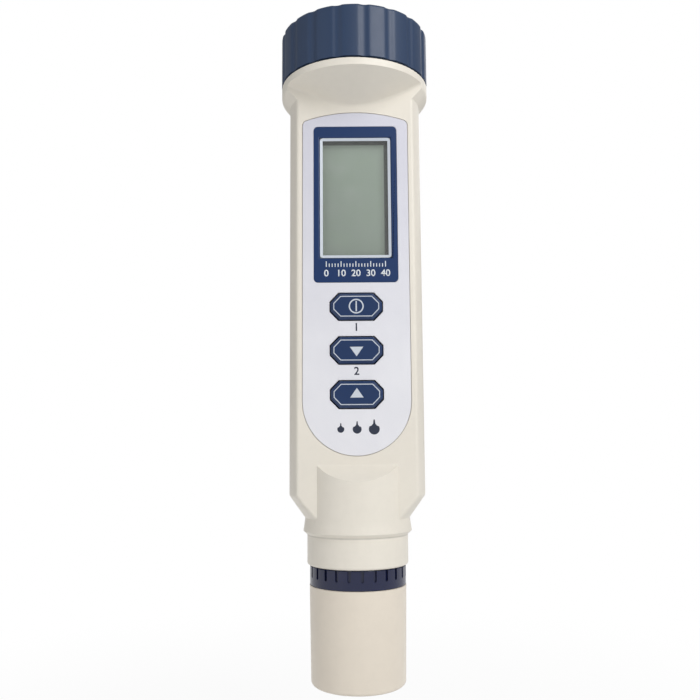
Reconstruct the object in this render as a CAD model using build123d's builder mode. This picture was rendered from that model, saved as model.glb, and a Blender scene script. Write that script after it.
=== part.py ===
from build123d import *
import os
from math import cos, radians, sqrt, tan

os.makedirs("parts", exist_ok=True)

# A pen-shaped water tester that stands on the closed end of its sensor cap.
# Millimetres, +Z along the pen towards the battery cap, front face towards -Y.
# "Depth" below is the distance in front of the pen's axis, so y = -depth.

# Clearances
fit_gap = 0.15
slide_gap = 0.25
thread_gap = 0.3
seal_gap = 0.05
seat_gap = 0.1
screw_gap = 0.05
match_gap = 0.01

# Shares of its pitch that a screw ridge fills, and how far its root is sunk
thread_root_share = 0.25
thread_crest_share = 0.13
thread_root_sink = 0.3

# Sensor cap, a closed sleeve over the electrode
sensor_cap_height = 25.0
sensor_cap_wall = 1.2
sensor_cap_taper = 0.4
sensor_cap_edge = 0.9
sensor_cap_floor = 1.8
sensor_cap_grip = 9.0
sensor_cap_draft = 0.45

# Knurled ring that clamps the electrode
ring_height = 5.0
ring_step = 0.09
ring_edge = 0.25
ring_spigot = 6.5
ring_screw = 7.0
ring_core_wall = 1.85
ring_spigot_wall = 2.95
ring_notches = 24
ring_notch_width = 0.8
ring_notch_depth = 0.5
ring_notch_length = 2.9
ring_notch_turn = 4.4
ring_thread_pitch = 2.0
ring_thread_depth = 0.7
ring_thread_length = 4.0
ring_thread_lead = 1.6
ring_seal_wire_r = 0.8
ring_seal_drop = 3.2

# Collar between the ring and the barrel
collar_height = 7.7
collar_step = 0.54
collar_edge = 0.66
collar_spigot = 9.2
collar_spigot_wall = 1.5
collar_seal_wire_r = 0.5

# Electrode
electrode_reach = 17.0
electrode_stem_r = 8.0
guard_depth = 9.0
guard_wall = 1.8
guard_edge = 0.6
guard_window = 3.2
guard_window_height = 5.0
flange_height = 2.0
flange_seal_height = 0.6
plug_step = 0.8
plug_length = 7.0
plug_key_width = 1.6
plug_key_rise = 0.8
plug_seal_wire_r = 0.6
sensing_pin_r = 1.0
sensing_pin_spread = 3.6
sensing_pin_length = 6.5
sensing_pin_root = 4.0
thermistor_r = 1.1
thermistor_round = 0.9
thermistor_offset = 4.2
thermistor_length = 6.0
contact_pin_r = 0.35
contact_pin_root = 3.0
contact_pin_length = 5.0
contact_pitch = 2.6
contact_count = 4

# Barrel, outside
neck_height = 4.3
lip_proud = 0.5
lip_height = 1.0
shoulder_height = 5.8
body_step = 1.2
body_length = 106.0
flare_height = 2.9
rim_inset = 0.05
rim_height = 3.4
rim_round = 1.5
rim_edge = 0.3
shoulder_round = 1.5
flat_round = 1.0
dish_round = 1.0
ramp_round = 1.0
flat_depth = 9.14
flat_foot = 7.8
ramp_drop = 3.8
dish_drop = 1.9
dish_angle = 29.0
wall = 1.8
front_wall = 2.2

# Barrel, screw neck under the battery cap
screw_neck_wall = 1.9
screw_neck_height = 10.3
ledge_width = 0.6
ledge_drop = 4.0
cap_thread_pitch = 3.0
cap_thread_depth = 0.95
cap_thread_length = 5.0
cap_thread_lead = 3.4

# Battery cap
cap_gap = 0.4
cap_height = 14.4
cap_wall = 2.3
cap_edge = 0.9
cap_roof = 2.0
cap_grooves = 18
cap_groove_width = 2.5
cap_groove_depth = 0.45
cap_groove_turn = 7.05
cap_seal_wire_r = 0.85

# Front panel and its window
panel_half_width = 14.05
panel_foot = 2.53
panel_head = 3.97
panel_crown = 2.5
panel_corner = 1.5
panel_thickness = 0.5
frame_width = 22.2
frame_head = 3.9
frame_foot = 45.2
frame_corner = 1.1
frame_border = 1.65
window_head = 3.1
window_foot = 6.6
window_bevel = 0.3
lens_thickness = 1.0
lens_margin = 1.0

# Keys and their switches
key_width = 13.5
key_height = 7.0
key_cut_x = 2.3
key_cut_z = 2.4
key_proud = 0.8
key_bevel = 0.7
key_pitch = 11.5
key_first = 15.7
key_count = 3
key_travel = 0.4
key_flange = 0.8
key_flange_thickness = 0.7
key_seal_thickness = 0.4
key_seal_margin = 2.6
switch_size = 6.0
switch_height = 1.8
plunger_r = 1.6
plunger_sunk = 0.8

# Circuit board and what stands on it
board_thickness = 1.6
board_depth = 3.2
glass_side = 1.3
glass_end = 1.55
glass_thickness = 2.2
display_frame_side = 1.25
display_frame_end = 2.0
reflector_thickness = 0.8
zebra_width = 2.0
chip_size = 9.0
chip_thickness = 1.2
chip_edge = 0.2
crystal_length = 8.0
crystal_r = 1.4
chip_part_length = 2.0
chip_part_width = 1.25
chip_part_height = 0.8
chip_part_columns = 4
chip_part_rows = 3

# Chassis, board screws and electrode socket
rail_width = 2.5
rail_depth = 2.6
rail_lip = 1.1
crossbar_height = 4.0
crossbar_gap = 1.0
top_plate = 2.3
screw_head_r = 1.5
screw_head_height = 0.9
screw_shank_r = 0.8
screw_length = 3.6
screw_inset = 3.6
socket_width = 13.0
socket_depth = 8.0
socket_height = 10.0
socket_round = 1.0
socket_sleeve_wall = 0.4
socket_tail = 0.5
socket_tail_rise = 3.0

# Cells and their holder
cell_r = 5.8
cell_height = 5.4
cell_can_height = 4.8
cell_button_r = 4.6
cell_edge = 0.4
cells_per_stack = 2
stack_gap = 1.2
cell_proud = 0.2
holder_wall = 2.3
holder_flange = 1.2
holder_floor = 1.2
holder_screw_length = 7.0
holder_screw_sunk = 9.0
holder_screw_x = 5.2
holder_screw_y = 10.6
spring_height = 3.3
spring_r = 3.4
spring_wire_r = 0.3
spring_turns = 3
strip_thickness = 0.3
strip_width = 2.5
bridge_margin = 0.2
bridge_thickness = 0.4
cap_spring_r = 4.5
cap_spring_turns = 3

# Levels along the pen, from the base up
z_ring = sensor_cap_height
z_ring_top = z_ring + ring_height
z_collar = z_ring_top + seat_gap
z_barrel = z_collar + collar_height
z_shoulder = z_barrel + neck_height
z_body = z_shoulder + shoulder_height
z_flare = z_body + body_length
z_rim = z_flare + flare_height
z_screw_neck = z_rim + rim_height
z_cap = z_screw_neck + cap_gap
z_cap_top = z_cap + cap_height

# Electrode levels
z_tip = z_ring - electrode_reach
z_chamber_top = z_tip + guard_depth
z_flange = z_ring_top + ring_screw
z_plug = z_flange + flange_height
z_plug_top = z_plug + plug_length
z_flange_seat = z_plug + flange_seal_height
z_collar_top = z_barrel + collar_spigot

# Radii that fit round each other at the lower end, from the electrode out
ring_bore_r = electrode_stem_r + slide_gap
ring_core_r = ring_bore_r + ring_core_wall
ring_spigot_r = ring_bore_r + ring_spigot_wall
sensor_cap_bore_r = ring_spigot_r + slide_gap
sensor_cap_rim_r = sensor_cap_bore_r + sensor_cap_wall
sensor_cap_base_r = sensor_cap_rim_r - sensor_cap_taper
ring_r = sensor_cap_rim_r - ring_step
collar_thread_r = ring_core_r + ring_thread_depth + thread_gap
flange_r = collar_thread_r - ring_thread_depth - slide_gap
flange_bore_r = flange_r + slide_gap
plug_r = electrode_stem_r - plug_step
plug_bore_r = plug_r + slide_gap
collar_spigot_r = flange_bore_r + collar_spigot_wall
neck_bore_r = collar_spigot_r + seat_gap
neck_r = neck_bore_r + wall
lip_r = neck_r + lip_proud
collar_r = neck_r - collar_step
guard_bore_r = electrode_stem_r - guard_wall
contact_y = -(board_depth - board_thickness) + socket_tail / 2

# Front face depths, from the outside in
inner_flat = flat_depth - front_wall
panel_back = flat_depth - panel_thickness
lens_back = panel_back - lens_thickness
key_flange_front = inner_flat - key_seal_thickness
key_flange_back = key_flange_front - key_flange_thickness
board_back = board_depth - board_thickness
glass_front = inner_flat - fit_gap
glass_back = glass_front - glass_thickness

# Widths and heights of the panel, the window and the display behind it
panel_height = body_length - flat_foot - panel_foot - panel_head
frame_height = panel_height - frame_foot - frame_head
window_width = frame_width - 2 * frame_border
window_height = frame_height - window_foot - window_head
glass_width = window_width + 2 * glass_side
glass_height = window_height + 2 * glass_end
display_frame_width = glass_width + 2 * display_frame_side
display_frame_height = glass_height + 2 * display_frame_end
board_width = display_frame_width

# Heights on the front face
z_flat_foot = z_body + flat_foot
z_panel = z_flat_foot + panel_foot
z_panel_arc = z_panel + panel_half_width
z_panel_top = z_panel + panel_height
z_frame = z_panel + frame_foot
z_frame_middle = z_frame + frame_height / 2
z_window = z_frame + window_foot
z_window_middle = z_window + window_height / 2
z_key_first = z_panel + key_first
key_levels = [z_key_first + index * key_pitch for index in range(key_count)]

# Levels of the cells, holder, chassis and board
z_screw_neck_top = z_screw_neck + screw_neck_height
z_ledge = z_screw_neck_top - ledge_drop
z_holder_top = z_ledge + holder_flange
z_cells_top = z_holder_top + cell_proud
z_cells = z_cells_top - cells_per_stack * cell_height
z_spring = z_cells - spring_height
z_pocket = z_spring - strip_thickness
z_holder = z_pocket - holder_floor
z_chassis_top = z_holder - top_plate
z_socket_top = z_collar_top + socket_height
z_bridge_top = z_cells_top + bridge_thickness
z_roof = z_cap_top - cap_roof

# Radii of the top end, from the cells out
stack_offset = cell_r + stack_gap / 2
pocket_r = cell_r + fit_gap
bridge_r = stack_offset + cell_r + bridge_margin
holder_r = stack_offset + pocket_r + holder_wall
screw_neck_bore_r = holder_r + slide_gap
ledge_r = screw_neck_bore_r + ledge_width
screw_neck_r = screw_neck_bore_r + screw_neck_wall
cap_bore_r = screw_neck_r + cap_thread_depth + thread_gap
cap_r = cap_bore_r + cap_wall
rim_r = cap_r - rim_inset
body_r = screw_neck_r + body_step
body_bore_r = body_r - wall
holder_flat = inner_flat - slide_gap

# The scooped cone under the flare meets the flat in an upturned arc
dish_slope = tan(radians(dish_angle))
z_dish = z_flare - dish_drop
z_round_bore = z_dish + (screw_neck_bore_r - flat_depth) * dish_slope + wall / cos(radians(dish_angle))


def thread_ridge(root_r, crest_r, z_start, length, pitch):
    """A right-hand screw ridge, wide at root_r and narrow at crest_r."""
    rise = 1 if crest_r > root_r else -1
    root = root_r - rise * thread_root_sink
    half_root = thread_root_share * pitch
    half_crest = thread_crest_share * pitch
    with BuildPart() as ridge:
        with BuildLine():
            Helix(pitch=pitch, height=length, radius=root_r, center=(0, 0, z_start))
        with BuildSketch(Plane.XZ):
            with BuildLine():
                Polyline(
                    (root, z_start - half_root),
                    (root, z_start + half_root),
                    (crest_r, z_start + half_crest),
                    (crest_r, z_start - half_crest),
                    close=True,
                )
            make_face()
        sweep(is_frenet=True)
    return ridge.part


def o_ring(outer_r, wire_r, z_middle):
    """A rubber ring of round section about the pen's axis."""
    with BuildPart() as ring:
        with BuildSketch(Plane.XZ):
            with Locations((outer_r - wire_r, z_middle)):
                Circle(wire_r)
        revolve(axis=Axis.Z)
    return ring.part


def coil_spring(coil_r, wire_r, x_middle, z_low, z_high, turns):
    """An upright coil whose wire just clears the faces at both of its ends."""
    start = z_low + wire_r + seal_gap
    length = z_high - z_low - 2 * wire_r - 2 * seal_gap
    with BuildPart() as spring:
        with BuildLine() as coil:
            Helix(pitch=length / turns, height=length, radius=coil_r, center=(x_middle, 0, start))
        with BuildSketch(Plane(origin=coil.line @ 0, z_dir=coil.line % 0)):
            Circle(wire_r)
        sweep(is_frenet=True)
    return spring.part


def rim_circle(piece, radius, height):
    """The circular edge of a turned piece at one radius and height."""
    circles = piece.edges().filter_by(GeomType.CIRCLE)
    return circles.filter_by(
        lambda edge: abs(edge.radius - radius) + abs(edge.center().Z - height) < match_gap
    )


def front_edges(piece, shape):
    """The edges of one shape in the plane of the flat face."""
    edges = piece.edges().filter_by(shape)
    return edges.filter_by_position(Axis.Y, -flat_depth - match_gap, -flat_depth + match_gap)


def panel_outline(margin):
    """The front panel's outline: round at the foot, gently arched at the top."""
    with BuildSketch() as outline:
        with BuildLine():
            half = panel_half_width
            z_corner = z_panel_top - panel_crown
            ThreePointArc((-half, z_panel_arc), (0, z_panel), (half, z_panel_arc))
            Line((half, z_panel_arc), (half, z_corner))
            ThreePointArc((half, z_corner), (0, z_panel_top), (-half, z_corner))
            Line((-half, z_corner), (-half, z_panel_arc))
        make_face()
        fillet(outline.vertices().group_by(Axis.Y)[-1], panel_corner)
        if margin > 0:
            offset(amount=margin, kind=Kind.INTERSECTION)
    return outline.sketch


def key_outline(z_middle, margin):
    """One key's octagon, grown by a margin all round."""
    x = key_width / 2 + margin
    z = key_height / 2 + margin
    with BuildSketch() as outline:
        with BuildLine():
            Polyline(
                (x - key_cut_x, z_middle + z),
                (x, z_middle + z - key_cut_z),
                (x, z_middle - z + key_cut_z),
                (x - key_cut_x, z_middle - z),
                (key_cut_x - x, z_middle - z),
                (-x, z_middle - z + key_cut_z),
                (-x, z_middle + z - key_cut_z),
                (key_cut_x - x, z_middle + z),
                close=True,
            )
        make_face()
    return outline.sketch


def board_screw(x, z):
    """A pan-head screw through the board into the chassis."""
    with BuildPart() as screw:
        with BuildSketch(Plane.XZ.offset(board_depth)):
            with Locations((x, z)):
                Circle(screw_head_r)
        extrude(amount=screw_head_height)
        with BuildSketch(Plane.XZ.offset(board_depth)):
            with Locations((x, z)):
                Circle(screw_shank_r)
        extrude(amount=-screw_length)
    return screw.part


# Sensor cap
with BuildPart() as sensor_cap:
    grip_foot = sensor_cap_height - sensor_cap_grip
    with BuildSketch(Plane.XZ):
        with BuildLine():
            Polyline(
                (0, 0),
                (sensor_cap_base_r, 0),
                (sensor_cap_rim_r, sensor_cap_height),
                (sensor_cap_bore_r, sensor_cap_height),
                (sensor_cap_bore_r, grip_foot),
                (sensor_cap_bore_r - sensor_cap_draft, sensor_cap_floor),
                (0, sensor_cap_floor),
                close=True,
            )
        make_face()
    revolve(axis=Axis.Z)
    fillet(sensor_cap.edges().group_by(Axis.Z)[0], sensor_cap_edge)
sensor_cap.part.label = "sensor_cap"
export_step(sensor_cap.part, "parts/sensor_cap.step")

# Knurled ring: a band, a spigot that the sensor cap grips, and a screw for the collar
ring_thread = thread_ridge(
    ring_core_r,
    ring_core_r + ring_thread_depth,
    z_ring_top + ring_thread_lead,
    ring_thread_length,
    ring_thread_pitch,
)
z_ring_seal = z_ring - ring_seal_drop
with BuildPart() as lock_ring:
    groove_floor = sensor_cap_bore_r - seal_gap - 2 * ring_seal_wire_r
    with BuildSketch(Plane.XZ):
        with BuildLine():
            Polyline(
                (ring_bore_r, z_ring - ring_spigot),
                (ring_spigot_r, z_ring - ring_spigot),
                (ring_spigot_r, z_ring),
                (ring_r, z_ring),
                (ring_r, z_ring_top),
                (ring_core_r, z_ring_top),
                (ring_core_r, z_flange),
                (ring_bore_r, z_flange),
                close=True,
            )
        make_face()
        with Locations((ring_spigot_r, z_ring_seal)):
            Rectangle(
                2 * (ring_spigot_r - groove_floor),
                2 * ring_seal_wire_r + seal_gap,
                mode=Mode.SUBTRACT,
            )
    revolve(axis=Axis.Z)
    band_edges = lock_ring.edges().filter_by(lambda edge: abs(edge.bounding_box().max.X - ring_r) < match_gap)
    fillet(band_edges.filter_by(GeomType.CIRCLE), ring_edge)
    with Locations((0, 0, z_ring_top - ring_notch_length + ring_notch_width / 2)):
        with PolarLocations(ring_r, ring_notches, ring_notch_turn - 90):
            Cylinder(
                ring_notch_width / 2,
                2 * ring_notch_depth,
                rotation=(0, 90, 0),
                mode=Mode.SUBTRACT,
            )
            Box(
                2 * ring_notch_depth,
                ring_notch_width,
                ring_notch_length,
                align=(Align.CENTER, Align.CENTER, Align.MIN),
                mode=Mode.SUBTRACT,
            )
    add(ring_thread)
lock_ring.part.label = "lock_ring"
export_step(lock_ring.part, "parts/lock_ring.step")

# Rubber ring that grips the sensor cap
sleeve_seal = o_ring(sensor_cap_bore_r - seal_gap, ring_seal_wire_r, z_ring_seal)
sleeve_seal.label = "sleeve_seal"
export_step(sleeve_seal, "parts/sleeve_seal.step")

# Collar: screw bore below, bulkhead for the electrode's plug above
collar_thread = thread_ridge(
    collar_thread_r,
    collar_thread_r - ring_thread_depth,
    z_ring_top + ring_thread_lead + ring_thread_pitch / 2,
    ring_thread_length,
    ring_thread_pitch,
)
z_collar_seal = z_barrel + collar_spigot / 4
with BuildPart() as electrode_collar:
    seal_floor = neck_bore_r - seal_gap - 2 * collar_seal_wire_r
    with BuildSketch(Plane.XZ):
        with BuildLine():
            Polyline(
                (collar_thread_r, z_collar),
                (collar_r, z_collar),
                (collar_r, z_barrel),
                (collar_spigot_r, z_barrel),
                (collar_spigot_r, z_collar_top),
                (plug_bore_r, z_collar_top),
                (plug_bore_r, z_flange_seat),
                (flange_bore_r, z_flange_seat),
                (flange_bore_r, z_flange + fit_gap),
                (collar_thread_r, z_flange + fit_gap),
                close=True,
            )
        make_face()
        with Locations((collar_spigot_r, z_collar_seal)):
            Rectangle(
                2 * (collar_spigot_r - seal_floor),
                2 * collar_seal_wire_r + seal_gap,
                mode=Mode.SUBTRACT,
            )
    revolve(axis=Axis.Z)
    low_edges = electrode_collar.edges().group_by(Axis.Z)[0]
    fillet(low_edges.sort_by(SortBy.RADIUS)[-1], collar_edge)
    with BuildSketch(Plane.XY.offset(z_flange_seat)):
        with Locations((0, plug_r)):
            Rectangle(
                plug_key_width + 2 * slide_gap,
                2 * (plug_key_rise + slide_gap),
            )
    extrude(amount=z_collar_top - z_flange_seat, mode=Mode.SUBTRACT)
    add(collar_thread)
electrode_collar.part.label = "electrode_collar"
export_step(electrode_collar.part, "parts/electrode_collar.step")

# Rubber ring between the collar's spigot and the barrel's neck
collar_seal = o_ring(neck_bore_r - seal_gap, collar_seal_wire_r, z_collar_seal)
collar_seal.label = "collar_seal"
export_step(collar_seal, "parts/collar_seal.step")

# Flat seal that the electrode's flange is clamped against
with BuildPart() as flange_seal:
    with BuildSketch(Plane.XY.offset(z_plug)):
        Circle(flange_r)
        Circle(plug_r + plug_key_rise + slide_gap, mode=Mode.SUBTRACT)
    extrude(amount=flange_seal_height)
flange_seal.part.label = "flange_seal"
export_step(flange_seal.part, "parts/flange_seal.step")

# Electrode body: potted stem, slotted guard round the pins, and keyed plug
z_plug_seal = z_plug + plug_length / 2
contact_xs = [(index - (contact_count - 1) / 2) * contact_pitch for index in range(contact_count)]
pin_places = [(-sensing_pin_spread, 0), (sensing_pin_spread, 0)]
with BuildPart() as electrode_body:
    plug_groove_floor = plug_bore_r - seal_gap - 2 * plug_seal_wire_r
    with BuildSketch(Plane.XZ):
        with BuildLine():
            Polyline(
                (0, z_chamber_top),
                (guard_bore_r, z_chamber_top),
                (guard_bore_r, z_tip),
                (electrode_stem_r, z_tip),
                (electrode_stem_r, z_flange),
                (flange_r, z_flange),
                (flange_r, z_plug),
                (plug_r, z_plug),
                (plug_r, z_plug_top),
                (0, z_plug_top),
                close=True,
            )
        make_face()
        with Locations((plug_r, z_plug_seal)):
            Rectangle(
                2 * (plug_r - plug_groove_floor),
                2 * plug_seal_wire_r + seal_gap,
                mode=Mode.SUBTRACT,
            )
    revolve(axis=Axis.Z)
    fillet(electrode_body.edges().group_by(Axis.Z)[0], guard_edge)
    with Locations((0, 0, z_chamber_top - guard_window_height / 2 - guard_wall)):
        Box(4 * electrode_stem_r, guard_window, guard_window_height, mode=Mode.SUBTRACT)
        Box(guard_window, 4 * electrode_stem_r, guard_window_height, mode=Mode.SUBTRACT)
    with BuildSketch(Plane.XY.offset(z_plug)):
        with Locations((0, plug_r)):
            Rectangle(plug_key_width, 2 * plug_key_rise)
    extrude(amount=z_plug_seal - plug_seal_wire_r - seal_gap - z_plug)
    with BuildSketch(Plane.XY.offset(z_chamber_top)):
        with Locations(*pin_places):
            Circle(sensing_pin_r + screw_gap)
        with Locations((0, thermistor_offset)):
            Circle(thermistor_r + screw_gap)
    extrude(amount=sensing_pin_root, mode=Mode.SUBTRACT)
    with BuildSketch(Plane.XY.offset(z_plug_top)):
        with Locations(*[(x, contact_y) for x in contact_xs]):
            Circle(contact_pin_r + screw_gap)
    extrude(amount=-contact_pin_root, mode=Mode.SUBTRACT)
electrode_body.part.label = "electrode_body"
export_step(electrode_body.part, "parts/electrode_body.step")

# Rubber ring round the electrode's plug
plug_seal = o_ring(plug_bore_r - seal_gap, plug_seal_wire_r, z_plug_seal)
plug_seal.label = "plug_seal"
export_step(plug_seal, "parts/plug_seal.step")

# Two steel pins that measure the current through the water
with BuildPart() as sensing_pins:
    with BuildSketch(Plane.XY.offset(z_chamber_top + sensing_pin_root)):
        with Locations(*pin_places):
            Circle(sensing_pin_r)
    extrude(amount=-sensing_pin_root - sensing_pin_length)
    fillet(sensing_pins.edges().group_by(Axis.Z)[0], sensing_pin_r / 2)
sensing_pins.part.label = "sensing_pins"
export_step(sensing_pins.part, "parts/sensing_pins.step")

# Temperature probe beside them
with BuildPart() as thermistor_tip:
    with BuildSketch(Plane.XY.offset(z_chamber_top + sensing_pin_root)):
        with Locations((0, thermistor_offset)):
            Circle(thermistor_r)
    extrude(amount=-sensing_pin_root - thermistor_length)
    fillet(thermistor_tip.edges().group_by(Axis.Z)[0], thermistor_round)
thermistor_tip.part.label = "thermistor_tip"
export_step(thermistor_tip.part, "parts/thermistor_tip.step")

# Plug pins on the electrode
with BuildPart() as contact_pins:
    with BuildSketch(Plane.XY.offset(z_plug_top - contact_pin_root)):
        with Locations(*[(x, contact_y) for x in contact_xs]):
            Circle(contact_pin_r)
    extrude(amount=contact_pin_root + contact_pin_length)
contact_pins.part.label = "contact_pins"
export_step(contact_pins.part, "parts/contact_pins.step")

# Barrel: a turned tube with a flat front, a scooped flare and a screw neck
barrel_thread = thread_ridge(
    screw_neck_r,
    screw_neck_r + cap_thread_depth,
    z_screw_neck + cap_thread_lead,
    cap_thread_length,
    cap_thread_pitch,
)
shoulder_rise = wall * sqrt(shoulder_height**2 + (body_r - neck_r) ** 2) / (body_r - neck_r)
shoulder_pitch = shoulder_height / (body_r - neck_r)
z_inner_shoulder = z_shoulder - (neck_r - neck_bore_r) * shoulder_pitch + shoulder_rise
z_inner_body = z_body - (body_r - body_bore_r) * shoulder_pitch + shoulder_rise

# What is scooped off the front of the turned tube: a flat face under a cone
with BuildPart() as front_scoop:
    with BuildSketch(Plane.XZ):
        with BuildLine():
            Polyline(
                (0, z_barrel),
                (0, z_dish - flat_depth * dish_slope),
                (2 * body_r, z_dish + (2 * body_r - flat_depth) * dish_slope),
                (2 * body_r, z_barrel),
                close=True,
            )
        make_face()
    revolve(axis=Axis.Z)
    split(bisect_by=Plane.XZ.offset(flat_depth), keep=Keep.TOP)
    fillet(front_edges(front_scoop, GeomType.HYPERBOLA), dish_round)

# The hollow of the body, flat along its front
with BuildPart() as body_hollow:
    with BuildSketch(Plane.XZ):
        with BuildLine():
            Polyline(
                (0, z_inner_shoulder),
                (neck_bore_r, z_inner_shoulder),
                (body_bore_r, z_inner_body),
                (body_bore_r, z_flare - 2 * wall),
                (screw_neck_bore_r, z_flare),
                (screw_neck_bore_r, z_round_bore),
                (0, z_round_bore),
                close=True,
            )
        make_face()
    revolve(axis=Axis.Z)
    split(bisect_by=Plane.XZ.offset(inner_flat), keep=Keep.BOTTOM)

# The round neck, which runs up in front of the flat under a sloping ramp
with BuildPart() as ramped_neck:
    with BuildSketch(Plane.XZ):
        with BuildLine():
            Polyline(
                (0, z_barrel),
                (collar_r, z_barrel),
                (lip_r, z_barrel + lip_height),
                (neck_r, z_shoulder),
                (neck_r, z_flat_foot),
                (0, z_flat_foot),
                close=True,
            )
        make_face()
    revolve(axis=Axis.Z)
    ramp_run = neck_r - flat_depth
    with BuildSketch(Plane.YZ):
        with BuildLine():
            Polyline(
                (-flat_depth, z_flat_foot),
                (-flat_depth - 2 * ramp_run, z_flat_foot - 2 * ramp_drop),
                (-flat_depth - 2 * ramp_run, z_flat_foot + ramp_drop),
                (-flat_depth, z_flat_foot + ramp_drop),
                close=True,
            )
        make_face()
    extrude(amount=2 * body_r, both=True, mode=Mode.SUBTRACT)

with BuildPart() as barrel:
    # Outside
    with BuildSketch(Plane.XZ):
        with BuildLine():
            Polyline(
                (0, z_barrel),
                (collar_r, z_barrel),
                (lip_r, z_barrel + lip_height),
                (neck_r, z_shoulder),
                (body_r, z_body),
                (body_r, z_flare),
                (rim_r, z_rim),
                (rim_r, z_screw_neck),
                (screw_neck_r, z_screw_neck),
                (screw_neck_r, z_screw_neck_top),
                (0, z_screw_neck_top),
                close=True,
            )
        make_face()
    revolve(axis=Axis.Z)
    fillet(rim_circle(barrel, rim_r, z_rim), rim_round)
    fillet(rim_circle(barrel, body_r, z_body), shoulder_round)
    fillet(rim_circle(barrel, rim_r, z_screw_neck), rim_edge)
    add(front_scoop.part, mode=Mode.SUBTRACT)
    fillet(front_edges(barrel, GeomType.LINE).filter_by(Axis.Z), flat_round)
    add(ramped_neck.part)
    ramp_top = front_edges(barrel, GeomType.LINE).filter_by(Axis.X)
    ramp_arc = barrel.edges().filter_by(GeomType.ELLIPSE)
    fillet(ramp_top + ramp_arc.filter_by_position(Axis.Z, z_flat_foot - ramp_drop, z_flat_foot), ramp_round)
    # Bores of the neck and the screw neck
    with BuildSketch(Plane.XY.offset(z_barrel)):
        Circle(neck_bore_r)
    extrude(amount=z_flat_foot - ramp_drop - wall - z_barrel, mode=Mode.SUBTRACT)
    with BuildSketch(Plane.XY.offset(z_round_bore)):
        Circle(screw_neck_bore_r)
    extrude(amount=z_screw_neck_top - z_round_bore, mode=Mode.SUBTRACT)
    with BuildSketch(Plane.XY.offset(z_ledge)):
        Circle(ledge_r)
    extrude(amount=ledge_drop, mode=Mode.SUBTRACT)
    add(body_hollow.part, mode=Mode.SUBTRACT)
    # Recess for the panel, rebate for the lens, and openings
    with BuildSketch(Plane.XZ.offset(flat_depth)):
        add(panel_outline(fit_gap))
    extrude(amount=-panel_thickness, mode=Mode.SUBTRACT)
    with BuildSketch(Plane.XZ.offset(panel_back)):
        with Locations((0, z_window_middle)):
            Rectangle(window_width + 2 * lens_margin, window_height + 2 * lens_margin)
    extrude(amount=-lens_thickness, mode=Mode.SUBTRACT)
    with BuildSketch(Plane.XZ.offset(flat_depth)):
        with Locations((0, z_window_middle)):
            Rectangle(window_width, window_height)
        for level in key_levels:
            add(key_outline(level, slide_gap))
    extrude(amount=-front_wall, mode=Mode.SUBTRACT)
    add(barrel_thread)
barrel.part.label = "barrel"
export_step(barrel.part, "parts/barrel.step")

# Rubber ring under the battery cap
cap_seal_outer_r = screw_neck_r + seal_gap + 2 * cap_seal_wire_r
z_cap_seal = z_screw_neck + seal_gap + cap_seal_wire_r
cap_seal = o_ring(cap_seal_outer_r, cap_seal_wire_r, z_cap_seal)
cap_seal.label = "cap_seal"
export_step(cap_seal, "parts/cap_seal.step")

# Battery cap: fluted outside, screwed inside, with a recess for its seal
cap_thread = thread_ridge(
    cap_bore_r,
    cap_bore_r - cap_thread_depth,
    z_screw_neck + cap_thread_lead + cap_thread_pitch / 2,
    cap_thread_length,
    cap_thread_pitch,
)
flute_r = (cap_groove_width**2 / 4 + cap_groove_depth**2) / (2 * cap_groove_depth)
with BuildPart() as battery_cap:
    seal_recess_r = cap_seal_outer_r + slide_gap
    seal_recess_top = z_cap_seal + cap_seal_wire_r + slide_gap
    with BuildSketch(Plane.XZ):
        with BuildLine():
            Polyline(
                (seal_recess_r, z_cap),
                (cap_r, z_cap),
                (cap_r, z_cap_top),
                (0, z_cap_top),
                (0, z_roof),
                (cap_bore_r, z_roof),
                (cap_bore_r, seal_recess_top),
                (seal_recess_r, seal_recess_top),
                close=True,
            )
        make_face()
    revolve(axis=Axis.Z)
    fillet(battery_cap.edges().group_by(Axis.Z)[-1], cap_edge)
    with Locations((0, 0, z_cap)):
        with PolarLocations(cap_r - cap_groove_depth + flute_r, cap_grooves, cap_groove_turn - 90):
            Cylinder(
                flute_r,
                2 * (cap_height + cap_edge),
                mode=Mode.SUBTRACT,
            )
    add(cap_thread)
battery_cap.part.label = "battery_cap"
export_step(battery_cap.part, "parts/battery_cap.step")

# Spring in the roof of the cap, and the disc that it presses on the cells
contact_spring = coil_spring(cap_spring_r, spring_wire_r, 0, z_bridge_top, z_roof, cap_spring_turns)
contact_spring.label = "contact_spring"
export_step(contact_spring, "parts/contact_spring.step")

with BuildPart() as bridge_disc:
    with BuildSketch(Plane.XY.offset(z_cells_top)):
        Circle(bridge_r)
    extrude(amount=bridge_thickness)
bridge_disc.part.label = "bridge_disc"
export_step(bridge_disc.part, "parts/bridge_disc.step")

# Button cells, two stacks side by side
stack_places = [(-stack_offset, 0), (stack_offset, 0)]
cell_list = []
for x, y in stack_places:
    for level in range(cells_per_stack):
        with BuildPart() as cell:
            z_cell = z_cells + level * cell_height
            with BuildSketch(Plane.XY.offset(z_cell + cell_height)):
                with Locations((x, y)):
                    Circle(cell_r)
            extrude(amount=-cell_can_height)
            with BuildSketch(Plane.XY.offset(z_cell)):
                with Locations((x, y)):
                    Circle(cell_button_r)
            extrude(amount=cell_height - cell_can_height)
            fillet(rim_circle(cell, cell_r, z_cell + cell_height), cell_edge)
        cell_list.append(cell.part)
button_cells = Compound(children=cell_list)
button_cells.label = "button_cells"
export_step(button_cells, "parts/button_cells.step")

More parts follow.
